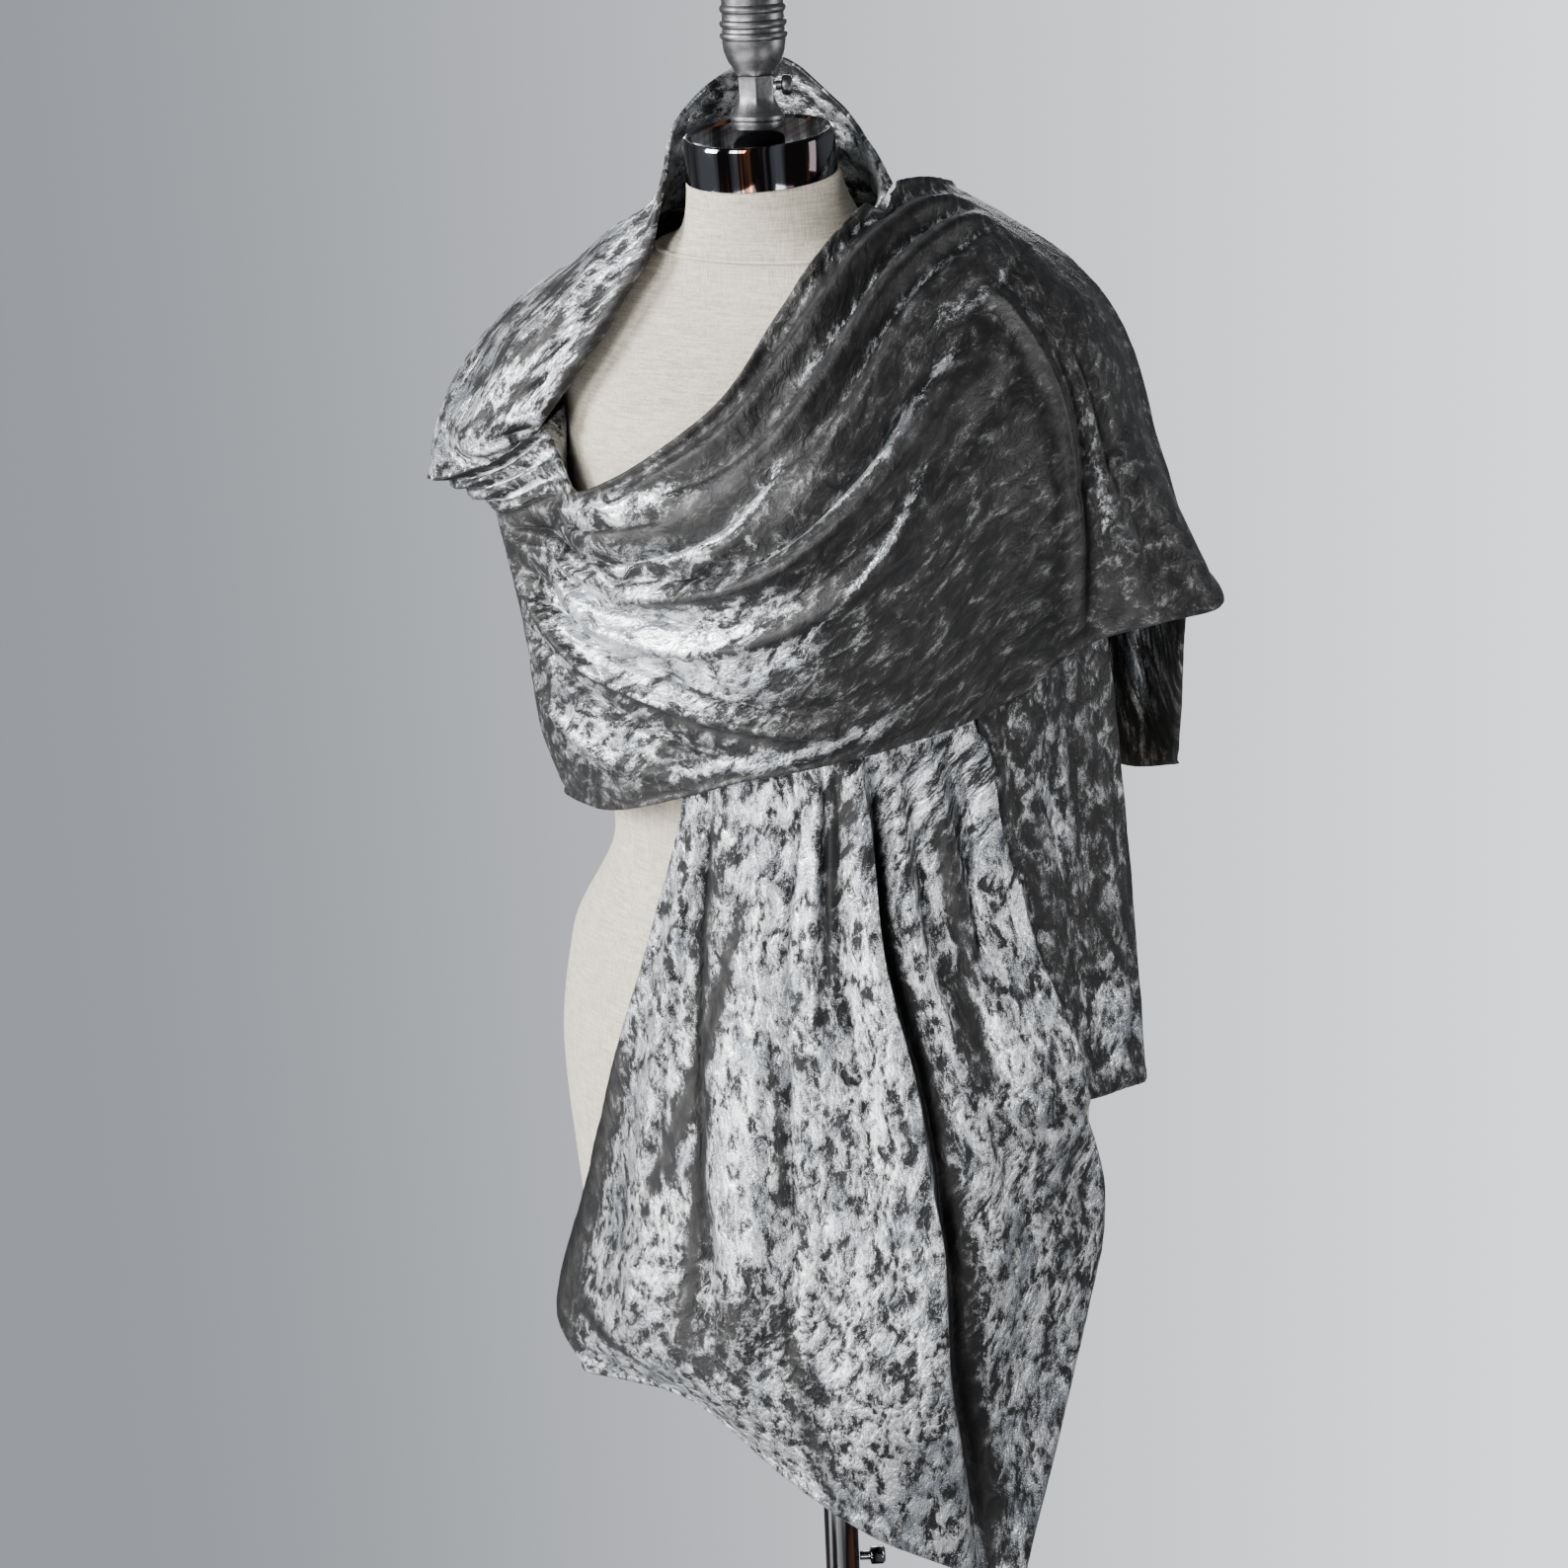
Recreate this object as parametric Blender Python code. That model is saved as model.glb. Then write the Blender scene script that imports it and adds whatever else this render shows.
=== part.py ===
# Evening stole in crushed velvet, draped on a limbless linen dress form with its stand.
# Units: metres. Z up, the form faces -Y, its own left is +X. The origin is the centre
# of the round base's underside, on the floor.

import math

import bmesh
import bpy
from mathutils import Matrix
from mathutils import Vector
from mathutils.bvhtree import BVHTree

for item in list(bpy.data.objects):
    bpy.data.objects.remove(item, do_unlink=True)

# Driving dimensions. The tables below are in millimetres, MM turns them into metres.
MM = 0.001
CLOTH_WALL = 2.2 * MM
SEAM_GAP = 0.4 * MM
LAYER_STEP = 5.5 * MM
BODY_CLEAR = 6.5 * MM
RIM_INSET = 0.5 * MM
RIGHT_RIM_INSET = 1.4 * MM
SPLIT_RIM_INSET = 0.2 * MM
SEAT_SPREAD = 45 * MM
REACH = 60 * MM
FORM_ASIDE = 8 * MM
SHEET_ASIDE = 5 * MM
DRAPE_SHIFT = Vector((-5, 0, 0))

BASE_RADIUS = 165 * MM
BASE_HEIGHT = 22 * MM
BASE_EDGE = 6 * MM
HUB_RADIUS = 24 * MM
HUB_HEIGHT = 30 * MM
POLE_RADIUS = 12.8 * MM
KNOB_HEIGHT = 337 * MM
VIEWER_TURN = math.radians(28)
KNOB_RADIUS = 7 * MM
KNOB_LENGTH = 20 * MM
PLATE_RADIUS = 62 * MM
PLATE_HEIGHT = 9 * MM

FORM_LOW = 570 * MM
FORM_TOP = 1392 * MM
FORM_RINGS = 26
FORM_SIDES = 26
FORM_RING_SPACING = 0.86
NECK_CENTRE_Y = -34 * MM
NECK_TILT = math.radians(6)
NECK_LOW = 1352 * MM
CAP_RADIUS = 50.5 * MM
CAP_HEIGHT = 29 * MM
CAP_EDGE = 2.5 * MM
TURNED_SIDES = 20
FINIAL_FOOT_RADIUS = 17 * MM
THUMB_KNOB_RISE = 27 * MM
THUMB_KNOB_RADIUS = 6.5 * MM
THUMB_SCREW_RADIUS = 3 * MM
THUMB_KNOB_IN = 13 * MM
THUMB_KNOB_OUT = 24 * MM

# Form sections: height, half width, depth to the front, depth to the back, centre's y.
FORM_SECTIONS = (
    (570, 190, 114, 124, -2),
    (660, 198, 120, 132, -2),
    (750, 203, 124, 136, -2),
    (840, 189, 117, 120, -4),
    (930, 146, 102, 93, -8),
    (1020, 146, 106, 94, -8),
    (1100, 150, 120, 100, -6),
    (1170, 160, 134, 106, -2),
    (1235, 172, 118, 106, 2),
    (1282, 182, 92, 94, 8),
    (1312, 166, 76, 80, 6),
    (1331, 128, 66, 70, 0),
    (1345, 86, 59, 63, -12),
    (1357, 64, 55, 58, -20),
    (1378, 54, 51, 52, -29),
    (1392, 51, 50, 50, -33),
)

# Finial profile: height above the neck cap, radius.
FINIAL_PROFILE = (
    (0.4, 17.0),
    (5.0, 17.0),
    (6.5, 18.2),
    (9.0, 18.0),
    (13.0, 15.0),
    (19.0, 12.6),
    (34.0, 12.4),
    (36.0, 13.6),
    (38.5, 13.6),
    (46.0, 18.6),
    (57.0, 21.4),
    (60.0, 22.2),
    (63.0, 21.0),
    (67.0, 22.2),
    (70.0, 20.6),
    (77.0, 21.8),
    (80.5, 20.0),
    (90.0, 20.8),
    (101.0, 17.0),
    (108.0, 9.0),
)


def blend(low, high, share):
    return low + (high - low) * share


def ease(share):
    share = max(0.0, min(1.0, share))
    return share * share * (3 - 2 * share)


def slope(table, row, column):
    """Slope of a column at a row, level where the column turns."""
    if row == 0 or row == len(table) - 1:
        first = max(0, row - 1)
        last = min(len(table) - 1, row + 1)
        return (table[last][column] - table[first][column]) / (table[last][0] - table[first][0])
    before = table[row][0] - table[row - 1][0]
    after = table[row + 1][0] - table[row][0]
    left = (table[row][column] - table[row - 1][column]) / before
    right = (table[row + 1][column] - table[row][column]) / after
    if left * right <= 0:
        return 0.0
    return 3 * (before + after) / ((2 * after + before) / left + (after + 2 * before) / right)


def form_section(height):
    """Half width, front depth, back depth and centre's y of the form at a height."""
    rows = FORM_SECTIONS
    level = max(rows[0][0], min(rows[-1][0] - 0.001, height / MM))
    k = 0
    while rows[k + 1][0] <= level:
        k += 1
    span = rows[k + 1][0] - rows[k][0]
    t = (level - rows[k][0]) / span
    values = []
    for column in range(1, 5):
        value = (2 * t**3 - 3 * t**2 + 1) * rows[k][column]
        value += (t**3 - 2 * t**2 + t) * slope(rows, k, column) * span
        value += (3 * t**2 - 2 * t**3) * rows[k + 1][column]
        value += (t**3 - t**2) * slope(rows, k + 1, column) * span
        values.append(value * MM)
    return values


def form_point(turn, height):
    """Point of the form's skin. The turn runs from the front to the form's own left."""
    width, front, back, centre = form_section(height)
    depth = blend(back, front, ease(0.5 + 0.5 * math.cos(turn)))
    return Vector((width * math.sin(turn), centre - depth * math.cos(turn), height))


def material(name, colour, metallic, roughness):
    made = bpy.data.materials.new(name)
    made.use_nodes = True
    shader = made.node_tree.nodes["Principled BSDF"]
    shader.inputs["Base Color"].default_value = (*colour, 1.0)
    shader.inputs["Metallic"].default_value = metallic
    shader.inputs["Roughness"].default_value = roughness
    return made


VELVET = material("crushed_velvet", (0.33, 0.34, 0.36), 0.0, 0.55)
LINEN = material("linen_cover", (0.70, 0.66, 0.58), 0.0, 0.85)
PEWTER = material("pewter_finial", (0.20, 0.20, 0.21), 1.0, 0.38)
CHROME = material("chrome_plate", (0.62, 0.63, 0.65), 1.0, 0.12)
BLACK_IRON = material("base_iron", (0.06, 0.06, 0.065), 0.6, 0.45)


def add_object(name, mesh_data, slot):
    """Finishes a bmesh as a named object with one material."""
    bmesh.ops.recalc_face_normals(mesh_data, faces=mesh_data.faces)
    mesh = bpy.data.meshes.new(name)
    mesh_data.to_mesh(mesh)
    mesh_data.free()
    for face in mesh.polygons:
        face.use_smooth = True
    mesh.materials.append(slot)
    made = bpy.data.objects.new(name, mesh)
    bpy.context.collection.objects.link(made)
    return made


def turned(name, profile, slot, sides=TURNED_SIDES, matrix=None):
    """Solid of revolution about Z from (height, radius) rows, closed flat at both ends."""
    made = bmesh.new()
    rings = []
    for height, radius in profile:
        ring = []
        for side in range(sides):
            angle = math.tau * side / sides
            ring.append(made.verts.new((radius * math.cos(angle), radius * math.sin(angle), height)))
        rings.append(ring)
    for low, high in zip(rings, rings[1:]):
        for side in range(sides):
            after = (side + 1) % sides
            made.faces.new((low[side], low[after], high[after], high[side]))
    made.faces.new(rings[0])
    made.faces.new(rings[-1])
    if matrix is not None:
        bmesh.ops.transform(made, matrix=matrix, verts=made.verts)
    return add_object(name, made, slot)


# Stand: a weighted round base, a chrome pole with its height knob, and the plate that
# carries the form.

turned(
    "stand_base",
    (
        (0.0, BASE_RADIUS - BASE_EDGE / 3),
        (BASE_EDGE / 3, BASE_RADIUS),
        (BASE_HEIGHT - BASE_EDGE, BASE_RADIUS),
        (BASE_HEIGHT - BASE_EDGE / 3, BASE_RADIUS - BASE_EDGE / 3),
        (BASE_HEIGHT, BASE_RADIUS - BASE_EDGE),
    ),
    BLACK_IRON,
    sides=40,
)
turned(
    "stand_hub",
    (
        (BASE_HEIGHT + SEAM_GAP, HUB_RADIUS),
        (BASE_HEIGHT + HUB_HEIGHT * 0.4, HUB_RADIUS),
        (BASE_HEIGHT + HUB_HEIGHT, POLE_RADIUS + 2 * MM),
    ),
    CHROME,
)
turned(
    "stand_pole",
    (
        (BASE_HEIGHT + HUB_HEIGHT + SEAM_GAP, POLE_RADIUS),
        (FORM_LOW - PLATE_HEIGHT - 2 * SEAM_GAP, POLE_RADIUS),
    ),
    CHROME,
)
turned(
    "form_plate",
    (
        (FORM_LOW - PLATE_HEIGHT - SEAM_GAP, PLATE_RADIUS - 2 * MM),
        (FORM_LOW - PLATE_HEIGHT + 2 * MM, PLATE_RADIUS),
        (FORM_LOW - SEAM_GAP, PLATE_RADIUS),
    ),
    BLACK_IRON,
    sides=28,
)
# The knob's screw points along the side of the form that is turned to the viewer.
KNOB_TURN = Matrix.Rotation(VIEWER_TURN, 4, "Z") @ Matrix.Rotation(math.pi / 2, 4, "Y")
turned(
    "height_knob",
    (
        (POLE_RADIUS + SEAM_GAP, KNOB_RADIUS * 0.5),
        (POLE_RADIUS + KNOB_LENGTH * 0.4, KNOB_RADIUS * 0.5),
        (POLE_RADIUS + KNOB_LENGTH * 0.45, KNOB_RADIUS),
        (POLE_RADIUS + KNOB_LENGTH * 0.9, KNOB_RADIUS),
        (POLE_RADIUS + KNOB_LENGTH, KNOB_RADIUS * 0.7),
    ),
    CHROME,
    sides=16,
    matrix=Matrix.Translation((0, 0, KNOB_HEIGHT)) @ KNOB_TURN,
)

# Form: a padded torso with its neck, closed at the bottom, under one linen cover.


def build_form():
    made = bmesh.new()
    rings = []
    for k in range(FORM_RINGS + 1):
        share = k / FORM_RINGS
        height = blend(FORM_LOW, FORM_TOP, share ** FORM_RING_SPACING)
        ring = []
        for side in range(FORM_SIDES):
            point = form_point(math.tau * side / FORM_SIDES, height)
            tilt = ease((height - NECK_LOW) / (FORM_TOP - NECK_LOW))
            point.z += tilt * math.tan(NECK_TILT) * (point.y - NECK_CENTRE_Y)
            ring.append(made.verts.new(point))
        rings.append(ring)
    for low, high in zip(rings, rings[1:]):
        for side in range(FORM_SIDES):
            after = (side + 1) % FORM_SIDES
            made.faces.new((low[side], low[after], high[after], high[side]))
    made.faces.new(rings[0])
    made.faces.new(rings[-1])
    bmesh.ops.recalc_face_normals(made, faces=made.faces)
    tree = BVHTree.FromBMesh(made)
    add_object("form_torso", made, LINEN)
    return tree


FORM_TREE = build_form()

NECK_TOP = Matrix.Translation((0, NECK_CENTRE_Y, FORM_TOP)) @ Matrix.Rotation(NECK_TILT, 4, "X")
turned(
    "neck_cap",
    (
        (SEAM_GAP, CAP_RADIUS),
        (SEAM_GAP + CAP_HEIGHT - CAP_EDGE, CAP_RADIUS),
        (SEAM_GAP + CAP_HEIGHT, CAP_RADIUS - CAP_EDGE),
    ),
    CHROME,
    sides=32,
    matrix=NECK_TOP,
)
CAP_TOP = NECK_TOP @ Vector((0, 0, SEAM_GAP + CAP_HEIGHT))
FINIAL_FOOT = Matrix.Translation(CAP_TOP + Vector((0, 0, FINIAL_FOOT_RADIUS * math.tan(NECK_TILT))))
turned(
    "finial",
    [(height * MM, radius * MM) for height, radius in FINIAL_PROFILE],
    PEWTER,
    sides=24,
    matrix=FINIAL_FOOT,
)
turned(
    "thumb_knob",
    (
        (THUMB_KNOB_IN, THUMB_SCREW_RADIUS),
        (THUMB_KNOB_IN + 3 * MM, THUMB_SCREW_RADIUS),
        (THUMB_KNOB_IN + 4 * MM, THUMB_KNOB_RADIUS),
        (THUMB_KNOB_OUT - 1.5 * MM, THUMB_KNOB_RADIUS),
        (THUMB_KNOB_OUT, THUMB_KNOB_RADIUS - 1.5 * MM),
    ),
    PEWTER,
    sides=14,
    matrix=FINIAL_FOOT @ Matrix.Translation((0, 0, THUMB_KNOB_RISE)) @ KNOB_TURN,
)

# Stole: one long piece of velvet with turned edges, lying in stretches. Each stretch is
# a smooth sheet through its sections, with folds raised or sunk along short lines, and
# is kept clear of the form and of the stretches beneath it before it gets its wall.


def curve_point(points, share):
    """Point on a smooth curve through the points, share 0 to 1 over equal spans."""
    place = max(0.0, min(1.0, share)) * (len(points) - 1)
    k = min(int(place), len(points) - 2)
    t = place - k
    p1 = points[k]
    p2 = points[k + 1]
    p0 = points[k - 1] if k > 0 else 2 * p1 - p2
    p3 = points[k + 2] if k + 2 < len(points) else 2 * p2 - p1
    bend = (2 * p0 - 5 * p1 + 4 * p2 - p3) * t**2
    twist = (3 * p1 - p0 - 3 * p2 + p3) * t**3
    return 0.5 * (2 * p1 + (p2 - p0) * t + bend + twist)


def section_points(row):
    """The x, y, z triples of one section row, as points in metres."""
    return [(Vector(row[k:k + 3]) + DRAPE_SHIFT) * MM for k in range(0, len(row), 3)]


def sheet_grid(sections, along, across):
    """Grid of points over the sections, [along][across]."""
    controls = [section_points(row) for row in sections]
    grid = []
    for i in range(along + 1):
        line = [curve_point([row[k] for row in controls], i / along) for k in range(len(controls[0]))]
        grid.append([curve_point(line, j / across) for j in range(across + 1)])
    return grid


def grid_normals(grid, outward):
    """Unit normals of a grid, on the side where outward points at each spot."""
    rows = len(grid)
    columns = len(grid[0])
    normals = []
    for i in range(rows):
        line = []
        for j in range(columns):
            du = grid[min(i + 1, rows - 1)][j] - grid[max(i - 1, 0)][j]
            dv = grid[i][min(j + 1, columns - 1)] - grid[i][max(j - 1, 0)]
            line.append(du.cross(dv).normalized() * outward)
        normals.append(line)
    return normals


def fold_height(folds, s, t):
    """Sum of the folds at a spot. A fold is a soft ridge or trough along a short line."""
    total = 0.0
    for s0, t0, s1, t1, width, height in folds:
        ds = s1 - s0
        dt = t1 - t0
        run = ((s - s0) * ds + (t - t0) * dt) / (ds * ds + dt * dt)
        near = max(0.0, min(1.0, run))
        away = math.hypot(s - s0 - ds * near, t - t0 - dt * near) / width
        fade = 1.0 - 0.75 * abs(2 * near - 1) ** 3
        total += height * MM * fade * math.exp(-away * away)
    return total


def raise_folds(grid, folds, outward):
    normals = grid_normals(grid, outward)
    rows = len(grid) - 1
    columns = len(grid[0]) - 1
    for i in range(rows + 1):
        for j in range(columns + 1):
            grid[i][j] = grid[i][j] + normals[i][j] * fold_height(folds, i / rows, j / columns)


def lift_over(grid, tree, clear, aside_limit):
    """Lifts points over the skin beneath them, at the corners and in the middle of each cell."""
    cells = []
    for i in range(len(grid)):
        for j in range(len(grid[0])):
            cells.append(((i, j),))
            if i + 1 < len(grid) and j + 1 < len(grid[0]):
                cells.append(((i, j), (i + 1, j), (i, j + 1), (i + 1, j + 1)))
    for corners in cells:
        middle = sum((grid[i][j] for i, j in corners), Vector()) / len(corners)
        found, normal, _, _ = tree.find_nearest(middle, REACH)
        if found is None:
            continue
        height = (middle - found).dot(normal)
        aside = (middle - found - normal * height).length
        if height < clear and aside < aside_limit:
            for i, j in corners:
                grid[i][j] = grid[i][j] + normal * (clear - height)


def keep_clear(grid, under):
    """Keeps a sheet off the form and over the sheets beneath it, evening it as it goes."""
    for share in (1.0, 1.0, 0.9):
        lift_over(grid, FORM_TREE, BODY_CLEAR * share, FORM_ASIDE)
        for tree in under:
            lift_over(grid, tree, LAYER_STEP * share, SHEET_ASIDE)
        if share == 1.0:
            smooth_grid(grid)


def smooth_grid(grid):
    """Evens the inner points of a grid, leaving its rim."""
    before = [line[:] for line in grid]
    for i in range(1, len(grid) - 1):
        for j in range(1, len(grid[0]) - 1):
            around = before[i - 1][j] + before[i + 1][j] + before[i][j - 1] + before[i][j + 1]
            grid[i][j] = before[i][j] * 0.5 + around * 0.125


def drawn_in(grid, amount):
    """A copy with its rim drawn in by a small amount, the seam gap to the next stretch."""
    rows = [line[:] for line in grid]
    for line in rows:
        line[0] = line[0] + (line[1] - line[0]).normalized() * amount
        line[-1] = line[-1] + (line[-2] - line[-1]).normalized() * amount
    for j in range(len(rows[0])):
        rows[0][j] = rows[0][j] + (rows[1][j] - rows[0][j]).normalized() * amount
        rows[-1][j] = rows[-1][j] + (rows[-2][j] - rows[-1][j]).normalized() * amount
    return rows


def cell_spots(grid, i, j):
    """Nine spots spread over one cell of a grid."""
    spots = []
    for u in (0.0, 0.33, 0.67):
        for v in (0.0, 0.33, 0.67):
            low = grid[i][j].lerp(grid[i][j + 1], v)
            high = grid[i + 1][j].lerp(grid[i + 1][j + 1], v)
            spots.append(low.lerp(high, u))
    return spots


def seat(grid, tree):
    """Lets a sheet down where it comes nearest the skin beneath, until the wall rests there."""
    for _ in range(5):
        nearest = None
        for i in range(len(grid) - 1):
            for j in range(len(grid[0]) - 1):
                for spot in cell_spots(grid, i, j):
                    found, normal, _, distance = tree.find_nearest(spot)
                    height = distance if (spot - found).dot(normal) > 0 else -distance
                    if nearest is None or height < nearest[0]:
                        nearest = (height, spot, normal)
        height, centre, normal = nearest
        drop = height - CLOTH_WALL / 2 - SEAM_GAP
        for line in grid[1:-1]:
            for j in range(1, len(line) - 1):
                away = (line[j] - centre).length / SEAT_SPREAD
                line[j] = line[j] - normal * drop * math.exp(-away * away)


def grid_tree(grid, outward):
    """Search tree of a sheet with its faces turned outward."""
    columns = len(grid[0])
    points = [point for line in grid for point in line]
    faces = []
    for i in range(len(grid) - 1):
        for j in range(columns - 1):
            a = i * columns + j
            face = (a, a + columns, a + columns + 1, a + 1)
            faces.append(face if outward > 0 else face[::-1])
    return BVHTree.FromPolygons(points, faces)


def sheet_solid(name, grid, normals=None):
    """Solid of a cloth sheet: both faces half the wall from the grid, closed at the rim."""
    if normals is None:
        normals = grid_normals(grid, 1)
    made = bmesh.new()
    faces = []
    for side in (0.5, -0.5):
        layer = []
        for line, line_normals in zip(grid, normals):
            step = CLOTH_WALL * side
            layer.append([made.verts.new(p + n * step) for p, n in zip(line, line_normals)])
        faces.append(layer)
    top, low = faces
    rows = len(grid)
    columns = len(grid[0])
    for i in range(rows - 1):
        for j in range(columns - 1):
            made.faces.new((top[i][j], top[i + 1][j], top[i + 1][j + 1], top[i][j + 1]))
            made.faces.new((low[i][j], low[i][j + 1], low[i + 1][j + 1], low[i + 1][j]))
    for i in range(rows - 1):
        made.faces.new((top[i][0], low[i][0], low[i + 1][0], top[i + 1][0]))
        made.faces.new((top[i][-1], top[i + 1][-1], low[i + 1][-1], low[i][-1]))
    for j in range(columns - 1):
        made.faces.new((top[0][j], top[0][j + 1], low[0][j + 1], low[0][j]))
        made.faces.new((top[-1][j], low[-1][j], low[-1][j + 1], top[-1][j + 1]))
    return add_object(name, made, VELVET)


def split_solids(parts, grid):
    """Solids of a sheet that is cut into stretches: each one's name, first and last row."""
    normals = grid_normals(grid, 1)
    for name, first, last in parts:
        sheet_solid(name, drawn_in(grid[first:last + 1], SPLIT_RIM_INSET), normals[first:last + 1])


def finish_sheet(name, grid, folds, outward, rest_on=None, rim=RIM_INSET):
    """Folds, clearances, resting spot, rim and wall of one stretch; returns its search tree."""
    raise_folds(grid, folds, outward)
    keep_clear(grid, ())
    if rest_on is not None:
        seat(grid, rest_on)
    sheet_solid(name, drawn_in(grid, rim))
    return grid_tree(grid, outward)


# Collar: the middle of the stole stands up behind the neck. Sections run from the
# form's right side round the back to its left side: top edge, middle, foot.
COLLAR_SECTIONS = (
    (-57, -54, 1394, -64, -50, 1380, -72, -46, 1366),
    (-64, -22, 1426, -68, -16, 1396, -78, -8, 1364),
    (-56, 34, 1450, -56, 40, 1402, -60, 46, 1360),
    (-22, 54, 1458, -20, 60, 1404, -18, 66, 1357),
    (28, 38, 1430, 32, 46, 1396, 36, 60, 1358),
    (62, 10, 1405, 64, 14, 1386, 70, 24, 1361),
    (84, -14, 1386, 82, -22, 1375, 80, -30, 1363),
)
COLLAR_FOLDS = (
    (0.10, 0.5, 0.40, 0.9, 0.10, -4),
    (0.60, 0.8, 0.92, 0.4, 0.10, 3),
)
COLLAR = sheet_grid(COLLAR_SECTIONS, 24, 6)
COLLAR_TREE = finish_sheet("stole_collar", COLLAR, COLLAR_FOLDS, 1)

# Back: below the collar the cloth hangs over the shoulder blades. Sections run from the
# right side round the back to the left side: foot of the collar down to the hem.
BACK_SECTIONS = (
    (-84, 8, 1357, -190, 62, 1302, -238, 46, 1212, -198, 0, 1100, -164, -12, 955),
    (-66, 44, 1358, -140, 100, 1288, -176, 104, 1180, -160, 84, 1070, -140, 78, 948),
    (-6, 72, 1354, -20, 124, 1270, -20, 132, 1170, -12, 120, 1052, -8, 118, 940),
    (60, 52, 1358, 108, 100, 1288, 128, 108, 1180, 116, 92, 1060, 110, 96, 950),
    (84, 10, 1362, 150, 52, 1312, 172, 50, 1190, 156, 30, 1080, 150, 36, 960),
)
BACK_FOLDS = (
    (0.15, 0.15, 0.30, 0.95, 0.06, 9),
    (0.32, 0.20, 0.42, 0.95, 0.05, -8),
    (0.50, 0.15, 0.52, 0.95, 0.06, 9),
    (0.68, 0.25, 0.64, 0.95, 0.05, -8),
    (0.82, 0.20, 0.76, 0.95, 0.06, 8),
)
COLLAR_BACK_FIRST = 5
COLLAR_BACK_LAST = 21
COLLAR_FOOT = [line[-1] for line in COLLAR[COLLAR_BACK_FIRST:COLLAR_BACK_LAST + 1]]
BACK_ALONG = 18
BACK = sheet_grid(BACK_SECTIONS, BACK_ALONG, 12)
for row, line in enumerate(BACK):
    line[0] = curve_point(COLLAR_FOOT, row / BACK_ALONG)
BACK_TREE = finish_sheet("stole_back", BACK, BACK_FOLDS, 1, rest_on=FORM_TREE)
BACK_SIDE = BACK[0]

# Right shoulder: from the collar over the shoulder down to the pinch. Sections run down
# the stretch: neckline edge, front, crest, and the line where it meets the back.
RIGHT_SECTIONS = (
    (-57, -60, 1390, -65, -56, 1375, -78, -42, 1360, -84, 8, 1357),
    (-60, -72, 1348, -92, -56, 1356, -112, -24, 1352, -120, 34, 1340),
    (-76, -78, 1320, -122, -72, 1328, -164, -20, 1330, -178, 58, 1310),
    (-92, -86, 1292, -150, -90, 1290, -206, -28, 1306, -212, 66, 1282),
    (-108, -94, 1268, -170, -104, 1250, -230, -48, 1266, -230, 58, 1252),
    (-124, -100, 1246, -186, -114, 1216, -240, -66, 1226, -236, 52, 1230),
    (-142, -100, 1224, -176, -110, 1202, -226, -106, 1190, -238, 46, 1212),
)
RIGHT_FOLDS = (
    (0.05, 0.05, 0.95, 0.05, 0.05, 3),
    (0.45, 0.35, 0.95, 0.30, 0.06, 5),
    (0.60, 0.55, 0.98, 0.48, 0.06, -4),
)
RIGHT_ALONG = 14
RIGHT_ACROSS = 12
RIGHT = sheet_grid(RIGHT_SECTIONS, RIGHT_ALONG, RIGHT_ACROSS)
COLLAR_SIDE = COLLAR[0] + [line[-1] for line in COLLAR[1:COLLAR_BACK_FIRST + 1]]
RIGHT_STEP = Vector((0, -1.4, -1.4)) * MM
for column in range(RIGHT_ACROSS + 1):
    RIGHT[0][column] = curve_point(COLLAR_SIDE, column / RIGHT_ACROSS) + RIGHT_STEP
for row, line in enumerate(RIGHT):
    line[-1] = curve_point(BACK_SIDE, 0.5 * row / RIGHT_ALONG)
finish_sheet("stole_right_shoulder", RIGHT, RIGHT_FOLDS, -1, rest_on=FORM_TREE, rim=RIGHT_RIM_INSET)

# Side end: the near end of the stole hangs under the wrap at the form's left side.
# Sections run down: front edge, middle, rear edge.
SIDE_SECTIONS = (
    (160, -60, 1180, 184, -20, 1176, 194, 45, 1172),
    (160, -58, 1060, 190, -10, 1062, 208, 60, 1066),
    (164, -60, 955, 194, -8, 958, 217, 62, 962),
    (176, -60, 848, 208, -5, 846, 226, 62, 846),
    (184, -54, 758, 214, 2, 749, 233, 60, 743),
)
SIDE_FOLDS = (
    (0.10, 0.30, 0.95, 0.35, 0.10, 5),
    (0.20, 0.65, 0.95, 0.68, 0.10, -5),
)
SIDE = sheet_grid(SIDE_SECTIONS, 16, 8)
SIDE_TREE = finish_sheet("stole_side_end", SIDE, SIDE_FOLDS, 1, rest_on=FORM_TREE)

# Front end: from the left shoulder it drops under the wrap and hangs down to the corner
# hem, widening into pleats. Sections run down it: inner edge to the edge over the side end.
FRONT_SECTIONS = (
    (70, -52, 1350, 84, -46, 1350, 98, -38, 1349, 112, -28, 1347, 128, -14, 1342),
    (45, -112, 1250, 75, -120, 1246, 105, -112, 1243, 130, -95, 1240, 155, -68, 1238),
    (8, -150, 1140, 45, -154, 1140, 85, -148, 1140, 120, -128, 1140, 152, -90, 1140),
    (-22, -132, 992, 25, -134, 1000, 75, -122, 1008, 120, -92, 1012, 162, -52, 1018),
    (-58, -128, 882, 5, -138, 884, 65, -136, 886, 125, -104, 888, 178, -32, 892),
    (-92, -128, 788, -10, -152, 780, 70, -150, 775, 148, -106, 772, 209, -14, 770),
    (-132, -112, 680, -30, -167, 668, 70, -167, 657, 160, -117, 657, 222, 8, 666),
    (-176, -96, 562, -60, -166, 582, 52, -174, 570, 140, -136, 552, 206, -18, 540),
    (-142, -116, 522, -30, -152, 539, 45, -158, 496, 112, -142, 452, 182, -62, 388),
)
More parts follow.
